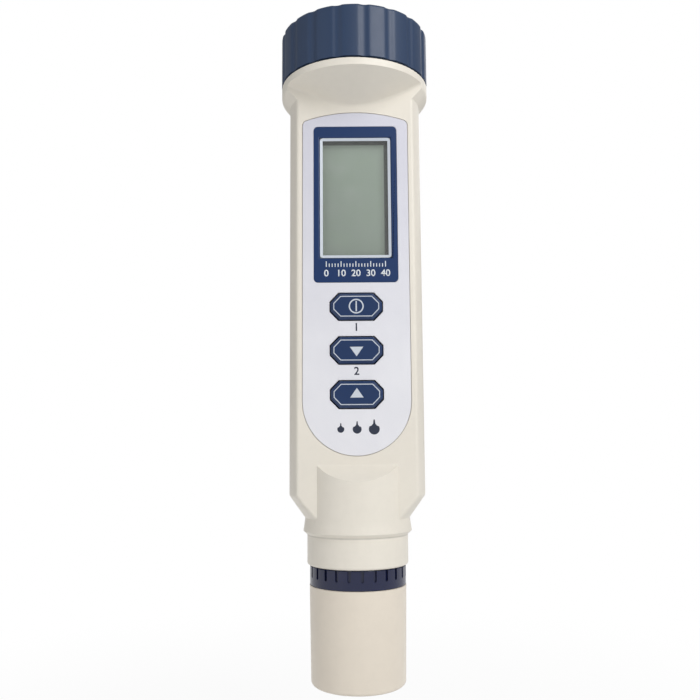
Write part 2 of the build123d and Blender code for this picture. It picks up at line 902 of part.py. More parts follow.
# Battery holder, hung on the ledge of the screw neck
holder_screw_places = [(-holder_screw_x, holder_screw_y), (holder_screw_x, holder_screw_y)]
strip_front = board_depth + strip_thickness
z_strip_foot = z_window_middle + display_frame_height / 2 + 2 * fit_gap
with BuildPart() as battery_holder:
    with BuildSketch(Plane.XY.offset(z_holder)):
        Circle(holder_r)
        with Locations((0, -holder_flat)):
            Rectangle(4 * holder_r, 4 * holder_r, align=(Align.CENTER, Align.MAX), mode=Mode.SUBTRACT)
    extrude(amount=z_ledge - z_holder)
    with BuildSketch(Plane.XY.offset(z_round_bore + slide_gap)):
        Circle(holder_r)
    extrude(amount=z_ledge - z_round_bore - slide_gap)
    with BuildSketch(Plane.XY.offset(z_ledge)):
        Circle(ledge_r - fit_gap)
    extrude(amount=holder_flange)
    with BuildSketch(Plane.XY.offset(z_pocket)):
        with Locations(*stack_places):
            Circle(pocket_r)
    extrude(amount=z_holder_top - z_pocket, mode=Mode.SUBTRACT)
    with BuildSketch(Plane.XY.offset(z_holder)):
        with Locations(*[(x, -strip_front + strip_thickness / 2) for x, y in stack_places]):
            Rectangle(strip_width + 2 * fit_gap, strip_thickness + 2 * fit_gap)
    extrude(amount=z_pocket - z_holder, mode=Mode.SUBTRACT)
    with BuildSketch(Plane.XY.offset(z_holder)):
        with Locations(*holder_screw_places):
            Circle(screw_shank_r + fit_gap)
    extrude(amount=z_holder_top - z_holder, mode=Mode.SUBTRACT)
    with BuildSketch(Plane.XY.offset(z_holder_top)):
        with Locations(*holder_screw_places):
            Circle(screw_head_r + fit_gap)
    extrude(amount=-holder_screw_sunk, mode=Mode.SUBTRACT)
battery_holder.part.label = "battery_holder"
export_step(battery_holder.part, "parts/battery_holder.step")

# Screws that join the holder to the chassis
z_screw_head = z_holder_top - holder_screw_sunk
with BuildPart() as holder_screws:
    with BuildSketch(Plane.XY.offset(z_screw_head)):
        with Locations(*holder_screw_places):
            Circle(screw_head_r)
    extrude(amount=screw_head_height)
    with BuildSketch(Plane.XY.offset(z_screw_head)):
        with Locations(*holder_screw_places):
            Circle(screw_shank_r)
    extrude(amount=-holder_screw_length)
holder_screws.part.label = "holder_screws"
export_step(holder_screws.part, "parts/holder_screws.step")

# Springs under the stacks, on strips that run down to the board
cell_springs = Compound(
    children=[
        coil_spring(spring_r, spring_wire_r, x, z_spring, z_cells, spring_turns) for x, y in stack_places
    ]
)
cell_springs.label = "cell_springs"
export_step(cell_springs, "parts/cell_springs.step")

with BuildPart() as cell_contacts:
    for x, y in stack_places:
        with BuildSketch(Plane.XY.offset(z_pocket)):
            with Locations((x, -strip_front)):
                Rectangle(strip_width, strip_front + spring_r, align=(Align.CENTER, Align.MIN))
        extrude(amount=strip_thickness)
        with BuildSketch(Plane.XY.offset(z_pocket)):
            with Locations((x, -strip_front)):
                Rectangle(strip_width, strip_thickness, align=(Align.CENTER, Align.MIN))
        extrude(amount=z_strip_foot - z_pocket)
cell_contacts.part.label = "cell_contacts"
export_step(cell_contacts.part, "parts/cell_contacts.step")

# Chassis: two rails that hold the board, cross bars, and a plate under the holder
rail_outer = board_width / 2 + fit_gap + rail_lip
rail_inner = board_width / 2 - rail_width
z_bars = [z_socket_top, z_frame - crossbar_height - crossbar_gap, z_chassis_top - crossbar_height]
with BuildPart() as chassis:
    for side in (-1, 1):
        with BuildSketch(Plane.XY.offset(z_socket_top)):
            with BuildLine():
                Polyline(
                    (side * rail_inner, -board_back),
                    (side * (board_width / 2 + fit_gap), -board_back),
                    (side * (board_width / 2 + fit_gap), -board_depth),
                    (side * rail_outer, -board_depth),
                    (side * rail_outer, rail_depth - board_back),
                    (side * rail_inner, rail_depth - board_back),
                    close=True,
                )
            make_face()
        extrude(amount=z_chassis_top - z_socket_top)
    for z_bar in z_bars:
        with BuildSketch(Plane.XY.offset(z_bar)):
            with Locations((0, -board_back)):
                Rectangle(2 * rail_inner, rail_depth, align=(Align.CENTER, Align.MIN))
        extrude(amount=crossbar_height)
    with BuildSketch(Plane.XY.offset(z_socket_top)):
        with Locations((0, -board_back)):
            Rectangle(
                contact_count * contact_pitch,
                socket_tail + 2 * fit_gap,
                align=(Align.CENTER, Align.MIN),
            )
    extrude(amount=socket_tail_rise + fit_gap, mode=Mode.SUBTRACT)
    with BuildSketch(Plane.XY.offset(z_chassis_top)):
        Circle(holder_r)
        with Locations((0, -holder_flat)):
            Rectangle(4 * holder_r, 4 * holder_r, align=(Align.CENTER, Align.MAX), mode=Mode.SUBTRACT)
        with Locations(*[(x, -strip_front + strip_thickness / 2) for x, y in stack_places]):
            Rectangle(strip_width + 2 * fit_gap, strip_thickness + 2 * fit_gap, mode=Mode.SUBTRACT)
        with Locations(*holder_screw_places):
            Circle(screw_shank_r + screw_gap, mode=Mode.SUBTRACT)
    extrude(amount=top_plate)
    screw_x = rail_inner - screw_inset + crossbar_height / 2
    screw_zs = [z_bar + crossbar_height / 2 for z_bar in z_bars[:2]]
    for z_screw in screw_zs:
        with BuildSketch(Plane.XZ.offset(board_back)):
            with Locations((-screw_x, z_screw), (screw_x, z_screw)):
                Circle(screw_shank_r + screw_gap)
        extrude(amount=-rail_depth, mode=Mode.SUBTRACT)
chassis.part.label = "chassis"
export_step(chassis.part, "parts/chassis.step")

# Socket that the electrode plugs into
with BuildPart() as electrode_socket:
    with BuildSketch(Plane.XY.offset(z_collar_top)):
        RectangleRounded(socket_width, socket_depth, socket_round)
        with Locations(*[(x, contact_y) for x in contact_xs]):
            Circle(contact_pin_r + 2 * screw_gap + socket_sleeve_wall + screw_gap, mode=Mode.SUBTRACT)
    extrude(amount=socket_height)
electrode_socket.part.label = "electrode_socket"
export_step(electrode_socket.part, "parts/electrode_socket.step")

# Spring sleeves in the socket, with tails soldered to the back of the board
with BuildPart() as socket_contacts:
    sleeve_r = contact_pin_r + 2 * screw_gap + socket_sleeve_wall
    with BuildSketch(Plane.XY.offset(z_collar_top)):
        with Locations(*[(x, contact_y) for x in contact_xs]):
            Circle(sleeve_r)
    extrude(amount=socket_height)
    with BuildSketch(Plane.XY.offset(z_socket_top)):
        with Locations(*[(x, contact_y) for x in contact_xs]):
            Rectangle(socket_tail, socket_tail)
    extrude(amount=socket_tail_rise)
    with BuildSketch(Plane.XY.offset(z_collar_top)):
        with Locations(*[(x, contact_y) for x in contact_xs]):
            Circle(contact_pin_r + 2 * screw_gap)
    extrude(amount=contact_pin_length + slide_gap, mode=Mode.SUBTRACT)
socket_contacts.part.label = "socket_contacts"
export_step(socket_contacts.part, "parts/socket_contacts.step")

# Circuit board, standing on the socket
with BuildPart() as circuit_board:
    with BuildSketch(Plane.XZ.offset(board_back)):
        with Locations((0, z_socket_top)):
            Rectangle(board_width, z_chassis_top - z_socket_top, align=(Align.CENTER, Align.MIN))
        for z_screw in screw_zs:
            with Locations((-screw_x, z_screw), (screw_x, z_screw)):
                Circle(screw_shank_r + fit_gap, mode=Mode.SUBTRACT)
    extrude(amount=board_thickness)
circuit_board.part.label = "circuit_board"
export_step(circuit_board.part, "parts/circuit_board.step")

board_screws = Compound(children=[board_screw(x, z) for z in screw_zs for x in (-screw_x, screw_x)])
board_screws.label = "board_screws"
export_step(board_screws, "parts/board_screws.step")

# Processor, crystal and small parts on the back of the board
z_chip = (z_bars[0] + z_bars[1] + crossbar_height) / 2
with BuildPart() as processor:
    with BuildSketch(Plane.XZ.offset(board_back)):
        with Locations((0, z_chip)):
            Rectangle(chip_size, chip_size)
    extrude(amount=-chip_thickness)
    chamfer(processor.faces().sort_by(Axis.Y)[-1].edges(), chip_edge)
processor.part.label = "processor"
export_step(processor.part, "parts/processor.step")

with BuildPart() as crystal:
    z_crystal = z_chip + chip_size
    with BuildSketch(Plane.YZ.offset(-crystal_length / 2)):
        with Locations((crystal_r - board_back, z_crystal)):
            Circle(crystal_r)
    extrude(amount=crystal_length)
crystal.part.label = "crystal"
export_step(crystal.part, "parts/crystal.step")

with BuildPart() as chip_parts:
    with BuildSketch(Plane.XZ.offset(board_back)):
        with Locations((0, z_chip - chip_size)):
            with GridLocations(2 * chip_part_length, 2 * chip_part_width, chip_part_columns, chip_part_rows):
                Rectangle(chip_part_length, chip_part_width)
    extrude(amount=-chip_part_height)
chip_parts.part.label = "chip_parts"
export_step(chip_parts.part, "parts/chip_parts.step")

# Display: frame on the board, glass, reflector and rubber contact strips
with BuildPart() as display_frame:
    with BuildSketch(Plane.XZ.offset(board_depth)):
        with Locations((0, z_window_middle)):
            Rectangle(display_frame_width, display_frame_height)
            Rectangle(glass_width - 2 * zebra_width, glass_height, mode=Mode.SUBTRACT)
    extrude(amount=glass_back - board_depth)
    with BuildSketch(Plane.XZ.offset(glass_back)):
        with Locations((0, z_window_middle)):
            Rectangle(display_frame_width, display_frame_height)
            Rectangle(glass_width + 2 * fit_gap, glass_height + 2 * fit_gap, mode=Mode.SUBTRACT)
    extrude(amount=glass_thickness)
display_frame.part.label = "display_frame"
export_step(display_frame.part, "parts/display_frame.step")

with BuildPart() as display_glass:
    with BuildSketch(Plane.XZ.offset(glass_back)):
        with Locations((0, z_window_middle)):
            Rectangle(glass_width, glass_height)
    extrude(amount=glass_thickness)
display_glass.part.label = "display_glass"
export_step(display_glass.part, "parts/display_glass.step")

with BuildPart() as reflector:
    with BuildSketch(Plane.XZ.offset(glass_back)):
        with Locations((0, z_window_middle)):
            Rectangle(
                glass_width - 2 * zebra_width - 2 * fit_gap,
                glass_height - 2 * zebra_width - 4 * fit_gap,
            )
    extrude(amount=-reflector_thickness)
reflector.part.label = "reflector"
export_step(reflector.part, "parts/reflector.step")

with BuildPart() as zebra_strips:
    zebra_z = (glass_height - zebra_width) / 2 - fit_gap
    with BuildSketch(Plane.XZ.offset(board_depth)):
        with Locations((0, z_window_middle - zebra_z), (0, z_window_middle + zebra_z)):
            Rectangle(glass_width - 2 * zebra_width - 2 * fit_gap, zebra_width)
    extrude(amount=glass_back - board_depth)
zebra_strips.part.label = "zebra_strips"
export_step(zebra_strips.part, "parts/zebra_strips.step")

# Lens, window frame and front panel
with BuildPart() as window_lens:
    with BuildSketch(Plane.XZ.offset(lens_back)):
        with Locations((0, z_window_middle)):
            Rectangle(
                window_width + 2 * lens_margin - 2 * fit_gap,
                window_height + 2 * lens_margin - 2 * fit_gap,
            )
    extrude(amount=lens_thickness)
window_lens.part.label = "window_lens"
export_step(window_lens.part, "parts/window_lens.step")

with BuildPart() as window_frame:
    with BuildSketch(Plane.XZ.offset(panel_back)):
        with Locations((0, z_frame_middle)):
            RectangleRounded(frame_width, frame_height, frame_corner)
        with Locations((0, z_window_middle)):
            Rectangle(window_width, window_height, mode=Mode.SUBTRACT)
    extrude(amount=panel_thickness)
    front_face = window_frame.faces().sort_by(Axis.Y)[0]
    chamfer(front_face.inner_wires().edges(), window_bevel)
window_frame.part.label = "window_frame"
export_step(window_frame.part, "parts/window_frame.step")

with BuildPart() as front_panel:
    with BuildSketch(Plane.XZ.offset(panel_back)):
        add(panel_outline(0))
        with Locations((0, z_frame_middle)):
            RectangleRounded(
                frame_width + 2 * seal_gap,
                frame_height + 2 * seal_gap,
                frame_corner + seal_gap,
                mode=Mode.SUBTRACT,
            )
        for level in key_levels:
            add(key_outline(level, slide_gap), mode=Mode.SUBTRACT)
    extrude(amount=panel_thickness)
front_panel.part.label = "front_panel"
export_step(front_panel.part, "parts/front_panel.step")

# Keys, lowest first: each has a bevelled cap and a flange behind the wall
key_names = ["key_up", "key_down", "key_power"]
for name, level in zip(key_names, key_levels):
    with BuildPart() as key:
        with BuildSketch(Plane.XZ.offset(key_flange_front)):
            add(key_outline(level, 0))
        extrude(amount=flat_depth + key_proud - key_flange_front)
        chamfer(key.faces().sort_by(Axis.Y)[0].edges(), key_bevel)
        with BuildSketch(Plane.XZ.offset(key_flange_back)):
            add(key_outline(level, key_flange))
        extrude(amount=key_flange_thickness)
    key.part.label = name
    export_step(key.part, f"parts/{name}.step")

# Rubber sheet between the wall and the flanges of the keys
with BuildPart() as key_seal:
    z_keys_middle = (key_levels[0] + key_levels[-1]) / 2
    with BuildSketch(Plane.XZ.offset(key_flange_front)):
        with Locations((0, z_keys_middle)):
            Rectangle(
                key_width + 2 * key_seal_margin,
                key_levels[-1] - key_levels[0] + key_height + 2 * key_seal_margin,
            )
        for level in key_levels:
            add(key_outline(level, slide_gap), mode=Mode.SUBTRACT)
    extrude(amount=key_seal_thickness)
key_seal.part.label = "key_seal"
export_step(key_seal.part, "parts/key_seal.step")

# Switch bodies on the board, each with a well for its plunger
well_floor = board_depth + switch_height - plunger_sunk - key_travel - slide_gap
with BuildPart() as switch_bodies:
    with BuildSketch(Plane.XZ.offset(board_depth)):
        with Locations(*[(0, level) for level in key_levels]):
            Rectangle(switch_size, switch_size)
    extrude(amount=switch_height)
    with BuildSketch(Plane.XZ.offset(well_floor)):
        with Locations(*[(0, level) for level in key_levels]):
            Circle(plunger_r + slide_gap)
    extrude(amount=switch_height, mode=Mode.SUBTRACT)
switch_bodies.part.label = "switch_bodies"
export_step(switch_bodies.part, "parts/switch_bodies.step")

# Plungers, one behind each key
plunger_foot = board_depth + switch_height - plunger_sunk
for name, level in zip(key_names, key_levels):
    with BuildPart() as plunger:
        with BuildSketch(Plane.XZ.offset(plunger_foot)):
            with Locations((0, level)):
                Circle(plunger_r)
        extrude(amount=key_flange_back - plunger_foot)
    plunger_name = name.replace("key", "plunger")
    plunger.part.label = plunger_name
    export_step(plunger.part, f"parts/{plunger_name}.step")
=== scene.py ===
"""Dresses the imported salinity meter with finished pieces, materials, lights and a camera."""

import math
from contextlib import contextmanager

import bpy
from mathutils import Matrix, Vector


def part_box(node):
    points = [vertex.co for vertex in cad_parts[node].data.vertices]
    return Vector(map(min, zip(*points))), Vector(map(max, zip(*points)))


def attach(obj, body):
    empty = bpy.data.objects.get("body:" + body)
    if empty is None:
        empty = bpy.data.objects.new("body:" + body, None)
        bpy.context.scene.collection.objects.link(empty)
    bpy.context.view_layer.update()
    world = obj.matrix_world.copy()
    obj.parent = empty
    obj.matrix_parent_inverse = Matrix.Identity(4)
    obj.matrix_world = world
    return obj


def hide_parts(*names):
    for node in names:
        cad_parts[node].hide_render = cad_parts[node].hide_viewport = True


bl_info = {
    "name": "Salinity meter",
    "version": (1, 0),
    "blender": (4, 5, 0),
    "location": "View3D > Sidebar > Meter",
    "description": "Models and finishes a pen-shaped salinity meter around its packed frame",
    "category": "Object",
}

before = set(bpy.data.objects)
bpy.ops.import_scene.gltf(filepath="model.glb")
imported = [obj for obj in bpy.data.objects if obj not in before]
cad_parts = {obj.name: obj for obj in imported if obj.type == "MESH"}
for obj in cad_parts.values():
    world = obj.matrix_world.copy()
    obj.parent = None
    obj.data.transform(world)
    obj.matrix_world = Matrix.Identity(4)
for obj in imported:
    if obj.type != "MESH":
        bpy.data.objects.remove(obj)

MM = 0.001
WELD = 1e-6
SMOOTH_ANGLE = math.radians(30)
FLAT_ANGLE = math.radians(0.4)
FACING = 0.9  # least share of a normal along an axis for a face that faces along it

# Corners of the frame's boxes, in metres
CAP_LOW, CAP_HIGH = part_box("battery_cap")
SLEEVE_LOW, SLEEVE_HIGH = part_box("sensor_cap")
COLLAR_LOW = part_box("electrode_collar")[0]
BARREL_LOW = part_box("barrel")[0]
PANEL_LOW, PANEL_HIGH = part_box("front_panel")
FRAME_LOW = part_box("window_frame")[0]
LENS_LOW, LENS_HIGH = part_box("window_lens")
GLASS_LOW, GLASS_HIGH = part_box("display_glass")
KEYS = ("key_power", "key_down", "key_up")

# Sizes of the face, in millimetres
KEY_BEVEL = 0.7  # width of the slope round each key
LENS_HIDDEN = 0.85  # how far the window frame covers the lens
# Painted shadow: the display is painted nearly black beside and above these lines, where the
# window's walls shade it
PAINTED_SHADOW_SIDE = LENS_HIGH.x / MM - 2.6  # where the painted shadow of the window's walls starts on the display, beside
PAINTED_SHADOW_TOP = LENS_HIGH.z / MM - 2.1  # and above
PAINTED_SHADOW_FADE = 0.12
PRINT_DEPTH = 0.03
FACE_SEGMENTS = 3  # of the small rounded edges on the face, a count

# The floor glows less near the meter, so that a soft shadow shows there
FLOOR_GLOW = 0.88
GLOW_NEAR = 40.0
GLOW_FAR = 260.0


def linear(red, green, blue):
    """A colour as it is seen on a screen, 0 to 255, as linear light."""
    parts = [part / 255 for part in (red, green, blue)]
    return tuple(p / 12.92 if p <= 0.04045 else ((p + 0.055) / 1.055) ** 2.4 for p in parts)


def colour(name, description, red, green, blue):
    """A colour property with its default."""
    return bpy.props.FloatVectorProperty(
        name=name,
        description=description,
        subtype="COLOR",
        size=3,
        min=0.0,
        max=1.0,
        default=linear(red, green, blue),
    )


def length(name, description, millimetres):
    """A length property with its default."""
    return bpy.props.FloatProperty(
        name=name, description=description, default=millimetres * MM, unit="LENGTH", precision=5
    )


def number(name, description, value):
    """A plain number property with its default."""
    return bpy.props.FloatProperty(name=name, description=description, default=value)


class CaseSettings(bpy.types.PropertyGroup):
    """Colours and edges of the moulded case and its caps."""

    case_colour: colour("Case", "Colour of the cream case", 238, 232, 220)
    sleeve_colour: colour("Sensor cap", "Colour of the cap over the sensor", 235, 225, 210)
    cap_colour: colour("Battery cap", "Colour of the fluted cap", 38, 60, 92)
    ring_colour: colour("Clamp ring", "Colour of the notched ring", 12, 22, 62)
    flute_depth: length("Flute depth", "How deep the grooves of the battery cap are", 0.36)
    cap_edge: length("Cap edge", "Rounding of the battery cap's top edge", 0.9)
    flutes: bpy.props.IntProperty(
        name="Flutes", description="Grooves round the battery cap", default=18
    )
    sleeve_edge: length("Sensor cap edge", "Rounding of the sensor cap's foot", 0.9)


class FaceSettings(bpy.types.PropertyGroup):
    """Colours, edges and printed lines of the front face."""

    panel_top: colour("Panel, top", "Silver of the panel's upper end", 214, 214, 226)
    panel_foot: colour("Panel, foot", "Silver of the panel's lower end", 240, 240, 245)
    frame_colour: colour("Window frame", "Blue of the window frame", 10, 48, 98)
    key_colour: colour("Keys", "Blue of the keys", 18, 48, 92)
    print_colour: colour("Print", "Colour of the signs on the keys", 205, 212, 222)
    ink_colour: colour("Ink", "Colour of the numbers on the panel", 38, 46, 66)
    display_colour: colour("Display", "Grey-green of the display", 132, 147, 133)
    plate_edge: length("Plate edge", "Rounding of the panel and frame edges", 0.1)
    key_edge: length("Key edge", "Rounding of the keys' bevels", 0.14)
    line_width: length("Key line", "Width of the silver line round each key", 0.22)
    line_inset: length("Key line inset", "Distance of that line from the key's rim", 0.78)


class StageSettings(bpy.types.PropertyGroup):
    """Camera and lights."""

    camera_place: bpy.props.FloatVectorProperty(
        name="Camera",
        description="Where the camera stands",
        size=3,
        unit="LENGTH",
        default=(-0.0017, -0.21214, 0.06124),
    )
    camera_turn: bpy.props.FloatVectorProperty(
        name="Camera turn",
        description="Pitch, roll and heading of the camera",
        size=3,
        subtype="EULER",
        default=(math.radians(96.82), 0.0, 0.0),
    )
    camera_roll: bpy.props.FloatProperty(
        name="Camera roll",
        description="Turn about the line of sight",
        subtype="ANGLE",
        default=math.radians(-0.38),
    )
    lens: number("Lens", "Focal length in millimetres", 40.44)
    key_power: number("Key light", "Power of the main light", 2.1)
    fill_power: number("Fill light", "Power of the left light", 0.55)
    back_power: number("Back light", "Power of the rear light", 0.8)
    room_light: number("Room light", "Strength of the surroundings", 0.38)


# --- Shader tools -----------------------------------------------------------------------


class Signal:
    """A shader socket that adds and multiplies as a number does."""

    def __init__(self, nodes, socket):
        self.nodes = nodes
        self.socket = socket

    def feed(self, target):
        """Links this socket to another."""
        self.nodes.tree.links.new(self.socket, target)

    def maths(self, operation, *terms):
        """Adds a Math node that works on the terms."""
        return self.nodes.node("ShaderNodeMath", {"operation": operation}, dict(enumerate(terms)))

    def __add__(self, other):
        return self.maths("ADD", self, other)

    __radd__ = __add__

    def __sub__(self, other):
        return self.maths("SUBTRACT", self, other)

    def __rsub__(self, other):
        return self.maths("SUBTRACT", other, self)

    def __mul__(self, other):
        return self.maths("MULTIPLY", self, other)

    __rmul__ = __mul__

    def __truediv__(self, other):
        return self.maths("DIVIDE", self, other)

    def __abs__(self):
        return self.maths("ABSOLUTE", self)

    def sine(self):
        return self.maths("SINE", self)

    def larger(self, other):
        return self.maths("MAXIMUM", self, other)


def connect(value, target):
    """Links a signal to a socket, or sets the socket to a plain value."""
    if isinstance(value, Signal):
        value.feed(target)
    elif target.type == "RGBA":
        target.default_value = (*value, 1.0)
    else:
        target.default_value = value


class Nodes:
    """A node tree that is filled by one method."""

    def __init__(self, tree):
        self.tree = tree

    def node(self, kind, settings=None, inputs=None, output=0):
        """Adds a node, gives it its settings, then its inputs, and returns one output."""
        node = self.tree.nodes.new(kind)
        for key, value in (settings or {}).items():
            setattr(node, key, value)
        for key, value in (inputs or {}).items():
            connect(value, node.inputs[key])
        return Signal(self, node.outputs[output])

    def rays(self, *kinds):
        """1 for rays of the given kinds, 0 for the others."""
        share, *others = (
            self.node("ShaderNodeLightPath", output=f"Is {kind} Ray") for kind in kinds
        )
        for other in others:
            share = share.larger(other)
        return share


class Finish(Nodes):
    """A material built node by node on one Principled shader."""

    def __init__(self, name, **constants):
        self.material = bpy.data.materials.new(name)
        self.material.use_nodes = True
        super().__init__(self.material.node_tree)
        self.shader = self.tree.nodes["Principled BSDF"]
        self.set(**constants)
        self.place = self.node("ShaderNodeTexCoord", output="Object")

    def set(self, **values):
        """Sets or feeds the shader's own sockets."""
        for socket, value in values.items():
            connect(value, self.shader.inputs[socket.replace("_", " ")])
        return self.material

    def noise(self, size, detail=2.0, roughness=0.5, place=None):
        """Soft random values of the given size in millimetres, about 0.5."""
        inputs = {
            "Vector": place or self.place,
            "Scale": 1.0 / (size * MM),
            "Detail": detail,
            "Roughness": roughness,
        }
        return self.node("ShaderNodeTexNoise", inputs=inputs)

    def patches(self, size, low, high, **texture):
        """Random patches: 0 where the noise is under low, 1 where it is over high."""
        return self.step(self.noise(size, **texture), low, high)

    def cells(self, size):
        """Distance to the nearest of many scattered points."""
        inputs = {"Vector": self.place, "Scale": 1.0 / (size * MM)}
        return self.node("ShaderNodeTexVoronoi", inputs=inputs)

    def scaled(self, x, y, z):
        """The place on the piece, stretched along its axes."""
        return self.node(
            "ShaderNodeVectorMath", {"operation": "MULTIPLY"}, {0: self.place, 1: (x, y, z)}
        )

    def axis(self, letter):
        """One coordinate in millimetres."""
        return self.node("ShaderNodeSeparateXYZ", inputs={0: self.place}, output=letter) / MM

    def radius(self):
        """The distance from the meter's axis in millimetres."""
        flat = self.scaled(1.0, 1.0, 0.0)
        reach = self.node("ShaderNodeVectorMath", {"operation": "LENGTH"}, {0: flat}, "Value")
        return reach / MM

    def step(self, value, low, high, bottom=0.0, top=1.0):
        """Rises smoothly from bottom to top while value goes from low to high."""
        return self.node(
            "ShaderNodeMapRange",
            {"interpolation_type": "SMOOTHSTEP"},
            {"Value": value, "From Min": low, "From Max": high, "To Min": bottom, "To Max": top},
        )

    def mix(self, share, first, second):
        """A colour between two colours."""
        return self.node(
            "ShaderNodeMix", {"data_type": "RGBA"}, {"Factor": share, 6: first, 7: second}, 2
        )

    def bump(self, height, distance, strength=1.0, under=None):
        """A normal that leans with the height, given in millimetres."""
        inputs = {"Height": height, "Distance": distance * MM, "Strength": strength}
        if under is not None:
            inputs["Normal"] = under
        return self.node("ShaderNodeBump", inputs=inputs)


def darker(tint, share):
    """The same colour with less light, or with more where the share is over 1."""
    return tuple(part * share for part in tint)


# --- Materials --------------------------------------------------------------------------
# Sizes and depths are in millimetres, and the other numbers are shares from 0 to 1.


def moulded(name, tint, rough, grain=0.35, depth=0.012, seams=()):
    """Injection-moulded plastic: fine texture, cloudy tint, handling marks and dark seams."""
    finish = Finish(name)
    cloud = finish.patches(26.0, 0.3, 0.7, detail=3.0)
    mottle = finish.noise(2.2, detail=4.0, roughness=0.6)
    along = finish.scaled(1.0, 1.0, 0.25)
    scuff = finish.patches(9.0, 0.56, 0.72, detail=5.0, roughness=0.7, place=along)
    shade = finish.mix(cloud * 0.5, tint, darker(tint, 0.93))
    shade = finish.mix(finish.step(mottle, 0.35, 0.75) * 0.18, shade, darker(tint, 0.88))
    for level, width in seams:
        near = finish.step(abs(finish.axis("Z") - level), 0.0, width, 1.0, 0.0)
        shade = finish.mix(near * (0.25 + 0.5 * finish.noise(3.0)), shade, darker(tint, 0.6))
    fine = finish.bump(finish.noise(grain), depth, 0.6)
    return finish.set(
        Base_Color=shade,
        Roughness=rough + 0.10 * (mottle - 0.5) - 0.08 * scuff,
        Normal=finish.bump(finish.noise(14.0, detail=1.0), 0.06, 0.25, fine),
    )


def rubber(name, tint):
    """Matt rubber with a dusty bloom."""
    finish = Finish(name, Specular_IOR_Level=0.35)
    bloom = finish.patches(1.6, 0.45, 0.75, detail=5.0, roughness=0.65)
    dusty = tuple(part + 0.02 for part in tint)
    grit = finish.noise(0.18, detail=3.0, roughness=0.7)
    return finish.set(
        Base_Color=finish.mix(bloom * 0.35, tint, dusty),
        Roughness=0.62 + 0.2 * bloom,
        Normal=finish.bump(grit, 0.008),
    )


def metal(name, tint, rough, stretched=(1.0, 1.0, 1.0)):
    """Bare metal with fine drawing lines and slight tarnish."""
    finish = Finish(name, Metallic=1.0)
    lines = finish.noise(0.25, detail=3.0, roughness=0.6, place=finish.scaled(*stretched))
    tarnish = finish.patches(2.5, 0.45, 0.8, detail=4.0, roughness=0.6)
    return finish.set(
        Base_Color=finish.mix(tarnish * 0.25, tint, darker(tint, 0.62)),
        Roughness=rough + 0.12 * lines + 0.15 * tarnish,
        Normal=finish.bump(lines, 0.004, 0.5),
    )


def board_finish(name):
    """Green solder mask over copper tracks on glass cloth."""
    finish = Finish(name, Coat_Weight=0.35, Coat_Roughness=0.12)
    wander = finish.noise(9.0, detail=1.0)
    lanes = abs((finish.axis("X") * 2.6 + 5.0 * wander).sine())
    rungs = abs((finish.axis("Z") * 1.9 + 6.0 * wander).sine())
    track = finish.step(lanes, 0.80, 0.88) * finish.step(rungs, 0.15, 0.25)
    pads = finish.step(finish.cells(2.6), 0.16, 0.20, 1.0, 0.0)
    weave = finish.patches(0.22, 0.3, 0.7, detail=1.0)
    mask = finish.mix(weave, (0.006, 0.065, 0.022), (0.010, 0.085, 0.030))
    shade = finish.mix(track * 0.8, mask, (0.03, 0.17, 0.05))
    return finish.set(
        Base_Color=finish.mix(pads, shade, (0.62, 0.60, 0.56)),
        Roughness=0.36 - 0.1 * pads,
        Metallic=0.85 * pads,
        Normal=finish.bump(track + pads, 0.02, 0.6),
    )


def lens_finish(name):
    """Clear acrylic with the lightest of hairline scratches."""
    finish = Finish(name, IOR=1.49, Base_Color=(0.93, 0.95, 0.95))
    along = finish.scaled(1.0, 1.0, 0.06)
    hair = finish.patches(0.5, 0.60, 0.78, detail=4.0, roughness=0.8, place=along)
    smear = finish.patches(7.0, 0.5, 0.8, detail=3.0, roughness=0.6)
    return finish.set(
        Roughness=0.03 + 0.08 * hair + 0.04 * smear,
        Alpha=0.06 + 0.03 * smear + 0.04 * hair,
        Normal=finish.bump(hair, 0.002, 0.3),
    )


def display_finish(name, tint):
    """Blank liquid crystal: a grey-green film with polariser grain, with painted light that makes
    it lighter towards the upper right, and a painted shadow of the window's walls along its right
    and top edges.
    """
    finish = Finish(name, Coat_Weight=0.6, Coat_Roughness=0.08)
    across, up = finish.axis("X"), finish.axis("Z")
    middle = (GLASS_LOW.z + GLASS_HIGH.z) / 2 / MM
    # painted light: the display grows lighter towards the top and the right, where the key light
    # stands
    painted_light_slope = finish.step(across * 0.6 + (up - middle) * 0.5, -12.0, 14.0)
    shade = finish.mix(painted_light_slope, darker(tint, 0.82), darker(tint, 1.1))
    red, green, blue = tint
    cloud = finish.patches(6.0, 0.35, 0.75, detail=3.0, roughness=0.55)
    shade = finish.mix(cloud * 0.25, shade, (red * 0.78, green * 0.9, blue * 0.72))
    grain = finish.noise(0.14, roughness=0.7)
    shade = finish.mix(finish.step(grain, 0.3, 0.8) * 0.12, shade, darker(tint, 0.7))
    # painted shadow of the window's right and top walls, darkening the display there
    beside = finish.step(across, PAINTED_SHADOW_SIDE, PAINTED_SHADOW_SIDE + PAINTED_SHADOW_FADE)
    above = finish.step(up, PAINTED_SHADOW_TOP, PAINTED_SHADOW_TOP + PAINTED_SHADOW_FADE)
    return finish.set(
        Base_Color=finish.mix(beside.larger(above), shade, darker(tint, 0.12)),
        Roughness=0.42 + 0.12 * grain,
        Normal=finish.bump(grain, 0.003, 0.4),
    )


